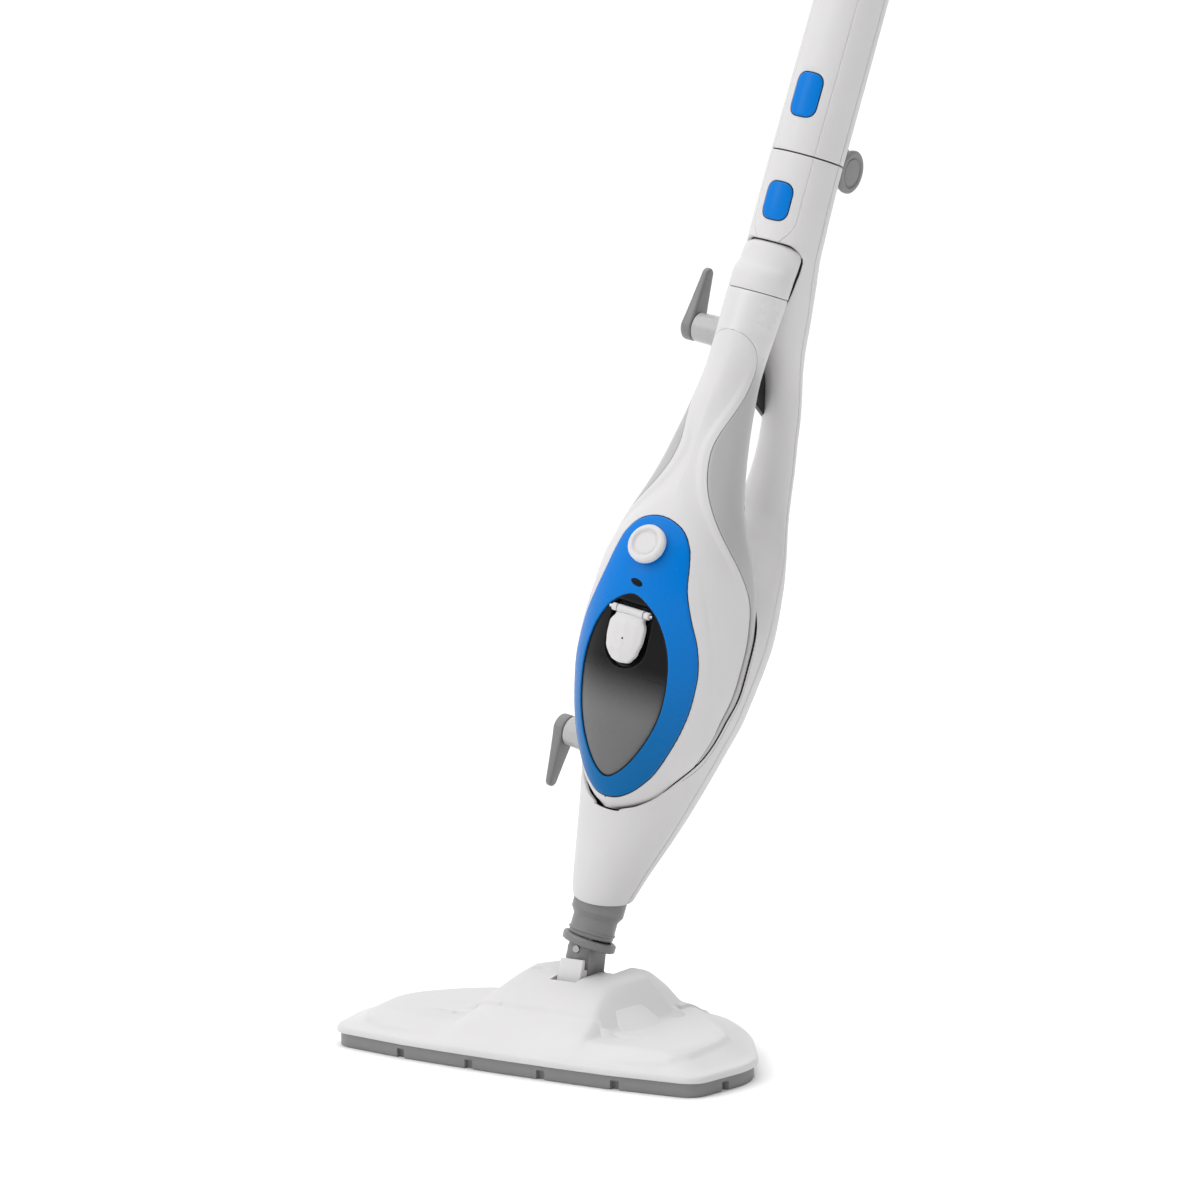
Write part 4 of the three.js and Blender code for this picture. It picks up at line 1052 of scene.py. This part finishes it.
def make_frame_shell():
    top = DOCK_TOP_Z + ROOM
    rows = dense(BOOT_RIM_Z, JOINT_Z - SEAM, 2.4, BOOT_COVER_Z, DOCK_FLOOR_Z, DOCK_LOWER_TOP_Z, top,
                 fine=0.35, reach=8)
    for z in (BOOT_COVER_Z, DOCK_FLOOR_Z, top):
        rows += [z - 0.02, z + 0.02]
    rows = ends_rolled(sorted(rows))
    shell = wall("frame_moulding", frame_section, rows, frame_rear, frame_front, columns=34,
                 roll=0.6, seam=math.radians(3), slant=boot_slant)
    finish_piece(shell, "frame", "white", "frame_shell")


def make_dock_gap_shade():
    """Black surfaces of painted shade in the dock, which show in the gaps round the handheld and at
    the joint.
    """
    make_gap_shade_wall("dock_gap_shade", 110, DOCK_LOWER_TOP_Z)
    make_gap_shade_wall("dock_upper_gap_shade", DOCK_UPPER_Z, DOCK_TOP_Z)
    make_rim_shade_strip("dock_rim_shade", 112, DOCK_LOWER_TOP_Z)
    make_rim_shade_strip("dock_upper_rim_shade", DOCK_UPPER_Z, DOCK_TOP_Z - 5)
    # A black disc of painted shade just above the handheld's end, inside the frame.
    shelf_z = DOCK_TOP_Z + 1.6
    shelf = closed_stack("dock_end_gap_shade", [
        [(x, y, z) for x, y in section_ring(frame_section, z, -2.4)]
        for z in (shelf_z, shelf_z + 1)])
    finish_piece(shelf, "frame", "black")
    # A black band of painted shade in the seam at the joint.
    joint = closed_stack("joint_gap_shade", [
        [(x, y, z) for x, y in section_ring(frame_section, z, -1.0)]
        for z in (JOINT_Z - 2, JOINT_Z - 0.1)])
    room = slab("room", [(-30, JOINT_Z - 5), (30, JOINT_Z - 5), (30, JOINT_Z + 5), (-30, JOINT_Z + 5)],
                16, 60)
    finish_piece(cut(joint, room), "frame", "black")


def make_rear_cover():
    cover_rows = ends_rolled(dense(44, JOINT_Z - SEAM, 3, fine=0.5))
    cover = wall("rear_cover_moulding", frame_section, cover_rows, lambda z: REAR,
                 lambda z: rear_angle(frame_section, z, rear_cover_half(z)[0]), columns=14, roll=0.6)
    for z in REAR_SCREWS_Z:
        back = frame_section(z)[3]
        cut(cover, bore(3.9, (0, back - 1.4, z), (0, back + 9, z), 0, 7))
    finish_piece(cover, "frame", "white", "rear_cover")


BUTTONS = {-1: (JOINT_Z - 32, 24.0), 1: (JOINT_Z + 37, 28.0)}


def make_panel(side, section, body, node, name):
    """A strip of the pole's front, with its release button."""
    near = JOINT_Z + side * SEAM
    far = JOINT_Z + side * (JOINT_Z - DOCK_TOP_Z - 1 if side < 0 else 120)
    levels = [near + (far - near) * i / 40 for i in range(41)]
    right = [(panel_half(side, z), z) for z in levels]
    outline = right + [(-x, z) for x, z in reversed(right)]
    if side < 0:
        outline = outline[::-1]
    z, height = BUTTONS[side]
    hole = np.array(rounded_block(0, z, 19.2, height + 1.2, 7.7, 12))
    button = np.array(rounded_block(0, z, 18, height, 7.2, 12))
    both = [match_start(resample(o, 200)) for o in (outline, hole, button)]
    panel = patch(name, both[0], on_section(section), hole=both[1], rings=10, roll=0.4)
    finish_piece(panel, body, "white", node)

    def dome(x, level):
        bulge = 1.3 * (1 - (x / 9) ** 2 * 0.35 - ((level - z) / height * 2) ** 2 * 0.3)
        return float(face_y(section(level), x, 0)) - bulge

    button_body = "lower_button" if side < 0 else "upper_button"
    face = patch(f"{button_body}_face", both[2], dome, rings=12, thick=6, roll=0.9)
    finish_piece(face, button_body, "blue", button_body)
    # A black strip of painted shade darkens the gap round the button.
    shade_gap_strip(f"{button_body}_seat", both[1], offset(both[2], 0.1), section, 0.3, body)


def match_start(points):
    """Turns an outline's list of points so that it starts at its lowest middle point."""
    if area(points) < 0:
        points = points[::-1]
    below = [j for j in range(len(points)) if points[j][1] < points[:, 1].mean()]
    first = min(below, key=lambda j: abs(points[j][0]))
    return np.roll(points, -first, axis=0)


def area(points):
    x, z = points[:, 0], points[:, 1]
    return float(np.sum(x * np.roll(z, -1) - np.roll(x, -1) * z)) / 2


def make_hinge():
    z, y = JOINT_Z, HINGE_Y
    for name, body, low, ranges in (
            ("lower_knuckle", "frame", -13.5, [(-6, 6)]),
            ("upper_knuckle", "upper_pole", 1.5, [(-13, -6.4), (6.4, 13)])):
        for i, (x0, x1) in enumerate(ranges):
            width = x1 - x0
            barrel = lathe(f"{name}_{i + 1}", [(3.2, 0), (12.4, 0), (12.4, width), (3.2, width)],
                           (x0, y, z), (x1, y, z), sides=96, radius=0.8)
            finish_piece(barrel, body, "white")
            web = side_slab(f"{name}_web_{i + 1}",
                            [(17.5, z + low), (y - 4, z + low), (y - 4, z + low + 12),
                             (17.5, z + low + 12)], x0 + 0.4, x1 - 0.4, edge=0.8)
            finish_piece(web, body, "white")
    for i, side in enumerate((-1, 1)):
        profile = [(0, 0), (HINGE_RADIUS - 0.2, 0), (HINGE_RADIUS, 2.6), (12.9, 3.7), (10.4, 3.7),
                   (9.9, 2.7), (9.0, 2.7), (8.6, 3.3), (0, 3.3)]
        cap = lathe(f"hinge_disc_{i + 1}", profile, (side * 13.3, y, z), (side * 17, y, z),
                    sides=128, radius=0.5)
        finish_piece(cap, "upper_pole", "base_grey", f"hinge_cap_{i + 1}", angle=30)


def make_web():
    # The web is black as painted shade in the recess behind the handheld's neck.
    outline = [(0.6, 428), (0.6, 378), (58.5, 355.2), (57, 369), (46, 386), (33, 406), (20, 428)]
    obj = side_slab("dock_web_plate", rounded(outline, 2.0), -11.5, -7, edge=0.8)
    finish_piece(obj, "frame", "black", "dock_web")


PADDLE_RADIUS = 9.8
PADDLE_TIP = 4.4
PADDLE_LENGTH = 34.0


def half_turn(y, z, radius, first, steps, sign):
    """Points (y, z) of half a circle, from an angle on; a sign of -1 turns it upside down."""
    turns = [first + math.pi * j / steps for j in range(steps + 1)]
    return [(y + radius * math.cos(turn), z + sign * radius * math.sin(turn)) for turn in turns]


def paddle_outline(y, z, sign):
    """A lever seen from its side: round about its screw, and narrowing to a small round tip."""
    edge = [(PADDLE_RADIUS - (PADDLE_RADIUS - PADDLE_TIP) * (j / 5) ** 0.8,
             sign * PADDLE_LENGTH * j / 5) for j in range(5)]
    return (half_turn(y, z, PADDLE_RADIUS, math.pi, 24, sign)
            + [(y + across, z + along) for across, along in edge]
            + half_turn(y, z + sign * PADDLE_LENGTH, PADDLE_TIP, 0, 16, sign)
            + [(y - across, z + along) for across, along in edge[:0:-1]])


def make_hook(name, y, z, boss_end, up):
    """A post on the frame's left side, with a lever that turns about the post's end."""
    start = -12.0 if up else -46.0
    length = boss_end + start
    boss = lathe(f"{name}_post", [(0, 0), (10.5, 0), (9.5, length), (0, length)],
                 (start, y, z), (-boss_end, y, z), sides=96, radius=0.9)
    finish_piece(boss, "frame", "pale_grey", f"{name}_boss")
    sign = 1 if up else -1
    inside = -boss_end - 0.3

    def blade(near, far):
        points = []
        for py, pz in paddle_outline(y, z, sign):
            t = min(max(sign * (pz - z) / PADDLE_LENGTH, 0.0), 1.0)
            points.append((inside - (near + (far - near) * t), py, pz))
        return points

    lever = bevel(closed_stack(f"{name}_paddle", [blade(0, 1.5), blade(7.8, 6.0)]), 1.5)
    cut(lever, bore(5, (inside - 6.4, y, z), (inside - 12, y, z), 0, 4))
    finish_piece(lever, f"{name}_lever", "mid_grey", f"{name}_lever")


make_frame_shell()
make_dock_gap_shade()
make_rear_cover()
make_panel(-1, frame_section, "frame", "front_panel", "lower_panel_moulding")
make_panel(1, upper_section, "upper_pole", "upper_panel", "upper_panel_moulding")
make_hinge()
make_web()
make_hook("upper_hook", 20, 403, 56, True)
make_hook("lower_hook", 14, 129, 64, False)

# ------------------------------------------------------------------ neck and yoke

FLARE_TOP_Z = BOOT_RIM_Z - 0.4
ROLL_PIN_ROOM = 2.65
AXLE_ROOM = 3.15


def make_neck():
    barrel = lathe("neck_barrel", [(0, -8), (12.9, -8), (13.4, 26), (0, 26)], (0, 0, 0), (0, 0, 1),
                   sides=128, radius=0.9)
    slot = slab("slot", [(-20, -20), (20, -20), (20, 9), (-20, 9)], -10.3, 10.3)
    pin_room = bore(ROLL_PIN_ROOM, (0, 0, 0), (0, 1, 0), -20, 20)
    cut(barrel, slot, pin_room)
    finish_piece(bevel(barrel, 0.5), "frame", "mid_grey", "lower_neck")

    lean = math.tan(math.radians(4))
    profile = rounded([(13.7, 3.6), (17.6, 3.2), (17.6, 8.2), (13.7, 8.8)], 1.3, 4)
    collar = hoop("neck_collar_ring", [[(x, y, z - x * lean) for x, y in circle(r, 128)]
                                       for r, z in profile])
    finish_piece(collar, "frame", "mid_grey", "neck_collar")

    profile = [(13.7, 9.2), (14.5, 9.2), (14.5, 11.6), (15.3, 12.0), (15.3, 13.2), (14.5, 13.6),
               (14.5, 21.5), (17, 25.6), (17, FLARE_TOP_Z), (15.3, FLARE_TOP_Z), (15.3, 45.8),
               (13.7, 45.8)]
    sleeve = lathe_tube("neck_sleeve", profile, 0.5)
    finish_piece(sleeve, "frame", "mid_grey", "neck_tube")


def lathe_tube(name, profile, radius, sides=128):
    """Turns a closed profile about the body's own axis, with its flare's top slanted like the boot."""
    rings = []
    for r, z in rounded(profile, radius, 3):
        slope = BOOT_SLOPE * float(smoothstep(z, 26, 30)) if z <= FLARE_TOP_Z and r > 15 else 0.0
        rings.append([(x, y, z + slope * y) for x, y in circle(r, sides)])
    return hoop(name, rings)


def make_yoke():
    top = YOKE_HEIGHT
    for name, slot, node, y0, y1 in (("yoke_casting", "mid_grey", "yoke", -10.2, 40),
                                     ("yoke_apron_moulding", "white", "yoke_apron", -40, -10.5)):
        half = yoke_shape(name, y0, y1)
        finish_piece(bevel(half, 0.7), "yoke", slot, node)
    pin = lathe("roll_pin_turned", [(0, -13.8), (2.5, -13.8), (2.5, 13.8), (0, 13.8)], (0, 0, top),
                (0, 1, top), YOKE, 64, 0.5)
    finish_piece(pin, "yoke", "steel", "roll_pin")


def yoke_shape(name, y0, y1):
    """The part of the yoke between two depths: a tongue over the axle, with an arched top."""
    top = YOKE_HEIGHT
    shoulder_z = top - 12.5
    side = [(-4, -7), (6, -7), (19, -3), (19, shoulder_z - 3), (10, shoulder_z), (10, top + 10),
            (-10, top + 10), (-10, shoulder_z), (-14.2, shoulder_z), (-14.2, 17), (-16.8, 17),
            (-19.5, 2), (-20, -5)]
    yoke = side_slab(name, side, -8.5, 8.5, YOKE)
    arch = [(8.5 * math.cos(math.pi * j / 32), top + 8.5 * math.sin(math.pi * j / 32))
            for j in range(33)]
    keep = slab("keep", [(8.5, -20), *arch, (-8.5, -20)], y0, y1, YOKE)
    combine(yoke, "INTERSECT", keep)
    axle_room = bore(AXLE_ROOM, (0, 0, 0), (1, 0, 0), -20, 20, YOKE)
    pin_room = bore(ROLL_PIN_ROOM, (0, 0, top), (0, 1, top), -30, 30, YOKE)
    return cut(yoke, axle_room, pin_room)


make_neck()
make_yoke()

# ------------------------------------------------------------------ floor head

HEAD_CORNERS = [(134.5, -74, 20), (HEAD_HALF_WIDTH, -14, 30), (104, 50, 40), (62, HEAD_REAR, 30)]


def head_plan(count=480):
    """The head's outline seen from above, counterclockwise, with evenly spaced points."""
    corners = [(0, HEAD_FRONT)] + [(x, y) for x, y, _ in HEAD_CORNERS] + [(0, HEAD_REAR)]
    right = [(0, HEAD_FRONT), (40, HEAD_FRONT + 0.5), (75, HEAD_FRONT + 1.8)]
    for i, (x, y, reach) in enumerate(HEAD_CORNERS):
        here = Vector((x, y))
        before = (Vector(corners[i]) - here).normalized() * reach * 0.7 + here
        after = (Vector(corners[i + 2]) - here).normalized() * reach * 0.7 + here
        for k in range(13):
            t = k / 12
            right.append(tuple(before * (1 - t) ** 2 + here * (2 * t * (1 - t)) + after * t * t))
    left = [(-x, y) for x, y in right[:0:-1]]
    return resample(right + [(0, HEAD_REAR)] + left, count)


def near_line(x, y, line):
    """Distance in plan from a point to a path of points."""
    best = 1e9
    for (ax, ay), (bx, by) in zip(line, line[1:]):
        dx, dy = bx - ax, by - ay
        t = min(max(((x - ax) * dx + (y - ay) * dy) / (dx * dx + dy * dy), 0), 1)
        best = min(best, math.hypot(x - ax - t * dx, y - ay - t * dy))
    return best


# the step in each wing, from behind the hump round to the front
WING_STEP = [(54, 40), (80, 31), (105, 12), (117, -2), (121.5, -20), (119, -55), (112, -66),
             (98, -71), (70, -72.5), (40, -73)]


def within(x, y, outline):
    """Whether a point lies inside a closed path."""
    inside = False
    for (ax, ay), (bx, by) in zip(outline, outline[1:] + outline[:1]):
        if (ay > y) != (by > y) and x < ax + (y - ay) * (bx - ax) / (by - ay):
            inside = not inside
    return inside


def wing_step(x, y):
    """The raised middle of the wings, which ends in a low step and fades at the front."""
    distance = near_line(abs(x), y, WING_STEP)
    if not within(abs(x), y, WING_STEP + [(0, -73), (0, 80), (54, 80)]):
        distance = -distance
    fade = float(smoothstep(abs(x), 55, 90)) if y < -40 else 1.0
    return 1.7 * fade * float(smoothstep(distance, -1.0, 1.0))


HUMP_SLOPE = 0.95
DIMPLE = (-30.0, 10.0)


def soft_min(a, b, softness):
    """The smaller of two values, with the crease between them rounded."""
    return (a + b - math.sqrt((a - b) ** 2 + softness ** 2)) / 2


def head_height(x, y, from_edge):
    """Height of the head's upper surface: a rim, wings, and a central hump."""
    wings = 13.6 + 9.5 * float(smoothstep(from_edge, 0, 30)) + wing_step(x, y)
    crown = 22.5 * float(smoothstep(y, -74, 0)) * (1 - float(smoothstep(y, 40, 80)))
    base = 50 + 15 * min((y + 52) / 76, 1.0) - 0.55 * max(y - 24, 0.0)
    flank = HUMP_SLOPE * (base - abs(x))
    hump = soft_min(crown, flank, 2.5)
    dimple = math.hypot((x - DIMPLE[0]) / 7.0, (y - DIMPLE[1]) / 4.5)
    return wings - soft_min(-hump, 0.0, 1.4) - 1.3 * (1 - float(smoothstep(dimple, 0.5, 1.0)))


HEAD_FOCUS = np.array([0.0, 8.0])
HEAD_LOOPS = 88
COVER_LOW_Z = 9.3
COVER_WALL = 2.4


def head_loop(outline, share, margin, drop, roll=0.0):
    """A loop of the cover, a share of the way in from an outline that is a margin inside its edge."""
    line = []
    for x, y in outline:
        px, py = np.array([x, y]) * (1 - share) + HEAD_FOCUS * share
        from_edge = math.hypot(px - x, py - y)
        sunk = float(edge_depth(from_edge, roll)) if roll else 0.0
        line.append((px, py, head_height(px, py, from_edge + margin) - sunk - drop))
    return line


def make_head_cover(plan):
    """A shell whose loops run from the rim in to one point, with the neck's slot cut through it."""
    count = len(plan)
    shares = [0.0, 0.004, 0.012, 0.024]
    shares += [0.04 + 0.95 * (i / HEAD_LOOPS) for i in range(HEAD_LOOPS + 1)]
    outer = [[(x, y, COVER_LOW_Z) for x, y in offset(plan, 0.3)], [(x, y, 9.7) for x, y in plan]]
    outer += [head_loop(plan, share, 0.0, 0.0, roll=2.0) for share in shares]
    inset = offset(plan, COVER_WALL)
    inside = [head_loop(inset, share, COVER_WALL, 2.6)
              for share in (0.9, 0.7, 0.5, 0.32, 0.16, 0.06, 0.0)]
    inside.append([(x, y, COVER_LOW_Z) for x, y in inset])
    points = [p for line in outer for p in line]
    faces = grid_faces(len(outer), count, closed=True)
    faces.append(tuple(len(points) - count + j for j in range(count)))
    base = len(points)
    points += [p for line in inside for p in line]
    faces += grid_faces(len(inside), count, closed=True, start=base)
    faces.append(tuple(base + j for j in range(count)))
    end = len(points) - count
    for j in range(count):
        k = (j + 1) % count
        faces.append((j, k, end + k, end + j))
    cover = weld(make_object("head_moulding", points, faces, ROW))
    y, z = AXLE[1], AXLE[2]
    slot = box("slot", -9.5, 9.5, y - 24, y + 22, 20, 70)
    saddle = side_slab("saddle", [(y + 6, z + 2), (y + 80, 22), (y + 80, 80), (y + 6, 80)],
                       -19.5, 19.5, ROW)
    cut(cover, slot, saddle)
    finish_piece(cover, "head", "white", "head_cover", angle=60)


NOTCHES_X = (-79, -26.5, 26.5, 79)
SOLE_SCREWS = [(-118, -30), (118, -30), (-52, 62), (52, 62)]


def make_sole(plan):
    """The grey sole plate: a tray with notches in its edge, screw holes and the axle's two towers."""
    rings = []
    for z, inward in [(0, 3.6), (0.25, 2.9), (0.9, 2.5), (8.6, 2.5), (9.0, 2.9)]:
        rings.append([(x, y, z) for x, y in offset(plan, inward)])
    base_plate = closed_stack("sole_moulding", rings, ROW)
    tray = flat_prism("tray", offset(plan, 9), 4, 12)
    tools = [tray]
    for x in NOTCHES_X:
        edge_y = HEAD_FRONT + 8 * (x / 134.5) ** 2 + 2.5
        tools.append(box("notch", x - 3, x + 3, edge_y - 4, edge_y + 3, -1, 6))
    for side in (-1, 1):
        x = side * (HEAD_HALF_WIDTH - 7)
        tools.append(box("notch", x - 5, x + 5, -46, -40, -1, 6))
    for x, y in SOLE_SCREWS:
        tools.append(bore(3.6, (x, y, 0), (x, y, 1), -1, 2.4, ROW))
    cut(base_plate, *tools)
    finish_piece(bevel(base_plate, 0.35, 2), "head", "base_grey", "base_plate")
    for side in (-1, 1):
        tower = box(f"axle_tower_{side + 2}", side * 17 - 4, side * 17 + 4, AXLE[1] - 9,
                    AXLE[1] + 9, 4.2, AXLE[2] - 3.2)
        finish_piece(tower, "head", "base_grey")


def flat_prism(name, outline, z0, z1):
    """A flat outline of (x, y) points, given height."""
    return closed_stack(name, [[(x, y, z) for x, y in outline] for z in (z0, z1)], ROW)


def box(name, x0, x1, y0, y1, z0, z1):
    return flat_prism(name, [(x0, y0), (x1, y0), (x1, y1), (x0, y1)], z0, z1)


head_outline = head_plan()
make_head_cover(head_outline)
make_sole(head_outline)

# ------------------------------------------------------------------ upper pole and grip

GRIP_Y, GRIP_Z = 14.0, UPPER_TOP_Z + 92
GRIP_DEPTH, GRIP_HEIGHT, GRIP_WIDTH, GRIP_LIMB = 46.0, 104.0, 15.0, 27.0


def grip_point(angle, inset):
    across = math.cos(angle) * (1 + 0.18 * math.sin(angle))
    return (GRIP_Y + (GRIP_DEPTH - inset) * across, GRIP_Z + (GRIP_HEIGHT - inset) * math.sin(angle))


def grip_rings(first, last, count, turn_from, turn_to, sides, grow):
    """Sections of the grip's limb, from one angle round the loop to another."""
    rings = []
    for i in range(count):
        angle = first + (last - first) * i / count
        outer, inner = grip_point(angle, 0), grip_point(angle, GRIP_LIMB)
        line = []
        for j in range(sides):
            turn = turn_from + (turn_to - turn_from) * j / (sides if turn_to - turn_from > 6
                                                            else sides - 1)
            c, s = math.cos(turn), math.sin(turn)
            c, s = math.copysign(abs(c) ** 0.9, c), math.copysign(abs(s) ** 0.9, s)
            share = 0.5 + (0.5 + grow / GRIP_LIMB) * c
            line.append(((GRIP_WIDTH + grow) * s, inner[0] + (outer[0] - inner[0]) * share,
                         inner[1] + (outer[1] - inner[1]) * share))
        rings.append(line)
    return rings


def make_upper_tube():
    rows = ends_rolled(dense(JOINT_Z + SEAM, UPPER_TOP_Z, 8, JOINT_Z + 120, fine=0.5, reach=16))

    def front(z):
        half = panel_half(1, z)
        return front_angle(upper_section, z, half + 0.3) if half else FRONT

    tube = wall("upper_moulding", upper_section, rows, lambda z: REAR, front, columns=40,
                roll=0.6, seam=math.radians(3))
    finish_piece(tube, "upper_pole", "white", "upper_tube")


def make_grip():
    """The loop of the grip on its seat, with the room for its soft pad cut out of it."""
    limb = hoop("grip_limb", grip_rings(0, 2 * math.pi, 160, 0, 2 * math.pi, 48, 0.0))
    seat = []
    for z, grow in [(UPPER_TOP_Z + 0.3, -0.5), (UPPER_TOP_Z + 0.5, -0.15), (UPPER_TOP_Z + 0.9, 0),
                    (UPPER_TOP_Z + 6, 0), (UPPER_TOP_Z + 13, 0.2), (UPPER_TOP_Z + 20, -1)]:
        seat.append([(x, y, z) for x, y in section_ring(upper_section, UPPER_TOP_Z, grow)])
    neck = closed_stack("grip_seat", seat)
    floor_cut = slab("room", [(-40, UPPER_TOP_Z - 40), (40, UPPER_TOP_Z - 40),
                              (40, UPPER_TOP_Z + 0.3), (-40, UPPER_TOP_Z + 0.3)], -80, 90)
    cut(limb, floor_cut)
    combine(limb, "UNION", neck)
    cut(limb, pad_block("room", 0.3))
    finish_piece(bevel(limb, 0.5, 2, 50), "upper_pole", "white", "loop_grip", angle=50)
    pad = pad_block("grip_pad_soft", 0.0)
    finish_piece(pad, "upper_pole", "mid_grey", "grip_pad", angle=50)


PAD_ROWS = 49
PAD_COLUMNS = 33


def pad_block(name, grow):
    """The soft pad over the back of the grip: its outer face, and a floor inside the limb."""
    first, last = math.radians(-17 - grow), math.radians(38 + grow)
    lift = 0.5 if not grow else 1.5
    turn = 1.15 + grow / 9
    top = grip_rings(first, last, PAD_ROWS, -turn, turn, PAD_COLUMNS, lift)
    floor = grip_rings(first, last, PAD_ROWS, -turn, turn, PAD_COLUMNS, -3.5 - grow)
    points = [p for line in top + floor for p in line]
    under = PAD_ROWS * PAD_COLUMNS
    faces = grid_faces(PAD_ROWS, PAD_COLUMNS) + grid_faces(PAD_ROWS, PAD_COLUMNS, start=under)
    for i in range(PAD_ROWS - 1):
        for column in (0, PAD_COLUMNS - 1):
            a = i * PAD_COLUMNS + column
            faces.append((a, a + PAD_COLUMNS, a + PAD_COLUMNS + under, a + under))
    for i in (0, PAD_ROWS - 1):
        for j in range(PAD_COLUMNS - 1):
            a = i * PAD_COLUMNS + j
            faces.append((a, a + 1, a + 1 + under, a + under))
    obj = weld(make_object(name, points, faces))
    return obj if grow else bevel(obj, 0.45, 2, 50)


make_upper_tube()
make_grip()

# ------------------------------------------------------------------ stage, camera and light

# brightness of the surroundings: level with the floor, to either side, and overhead
HORIZON = 1.06
SKY_LEFT = 0.95
SKY_RIGHT = 0.1
SKY_TOP = 1.65


def make_stage():
    mesh = bpy.data.meshes.new("floor")
    mesh.from_pydata([(-9, -9, 0), (9, -9, 0), (9, 9, 0), (-9, 9, 0)], [], [(0, 1, 2, 3)])
    floor = bpy.data.objects.new("floor", mesh)
    bpy.context.scene.collection.objects.link(floor)
    mat = plastic("floor_paper", (0.95, 0.95, 0.95), 0.95, grain=0.0, mottling=0.003, wear=0.0)
    floor.data.materials.append(mat)
    bpy.context.scene.view_settings.view_transform = "Standard"

    world = bpy.data.worlds.new("studio")
    world.use_nodes = True
    bpy.context.scene.world = world
    tree = world.node_tree
    place = tree.nodes.new("ShaderNodeTexCoord")
    split = tree.nodes.new("ShaderNodeSeparateXYZ")
    tree.links.new(place.outputs["Generated"], split.inputs["Vector"])

    x, z = split.outputs["X"], split.outputs["Z"]
    sides = mapped(tree, x, -0.3, 0.6, SKY_LEFT, SKY_RIGHT, eased=True)
    upper = mixed(tree, "FLOAT", mapped(tree, z, 0.55, 0.85, eased=True), sides, SKY_TOP)
    radiance = mixed(tree, "FLOAT", mapped(tree, z, 0.05, 0.16, eased=True), HORIZON, upper)
    tree.links.new(radiance, tree.nodes["Background"].inputs["Strength"])
    tree.nodes["Background"].inputs["Color"].default_value = (1, 1, 1, 1)


def soft_box(name, position, target, size, power):
    light = bpy.data.lights.new(name, "AREA")
    light.shape = "RECTANGLE"
    light.size, light.size_y = size
    light.energy = power
    obj = bpy.data.objects.new(name, light)
    bpy.context.scene.collection.objects.link(obj)
    obj.location = position
    aim = Vector(target) - Vector(position)
    obj.rotation_euler = aim.to_track_quat("-Z", "Y").to_euler()


CAMERA_AZIMUTH = math.radians(31.5)
CAMERA_ELEVATION = math.radians(7.64)
CAMERA_DISTANCE = 2.7
CAMERA_TARGET = Vector((0.0, 0.035, 0.2845))
CAMERA_LENS = 127.5


def make_camera():
    """A long lens to the right of the front and a little above the handheld's middle."""
    data = bpy.data.cameras.new("camera")
    data.sensor_width = 36
    data.lens = CAMERA_LENS
    camera = bpy.data.objects.new("camera", data)
    bpy.context.scene.collection.objects.link(camera)
    across = math.cos(CAMERA_ELEVATION)
    aim = Vector((-math.sin(CAMERA_AZIMUTH) * across, math.cos(CAMERA_AZIMUTH) * across,
                  -math.sin(CAMERA_ELEVATION)))
    camera.location = CAMERA_TARGET - aim * CAMERA_DISTANCE
    camera.rotation_euler = aim.to_track_quat("-Z", "Y").to_euler()
    bpy.context.scene.camera = camera


make_stage()
soft_box("key", (-1.2, -1.9, 2.0), (0, 0, 0.35), (1.3, 1.8), 16)
soft_box("fill", (1.9, -0.6, 1.3), (0, 0, 0.35), (0.9, 1.8), 2)
soft_box("top", (0.1, 0.4, 2.4), (0, 0, 0.2), (1.4, 1.4), 6)
make_camera()
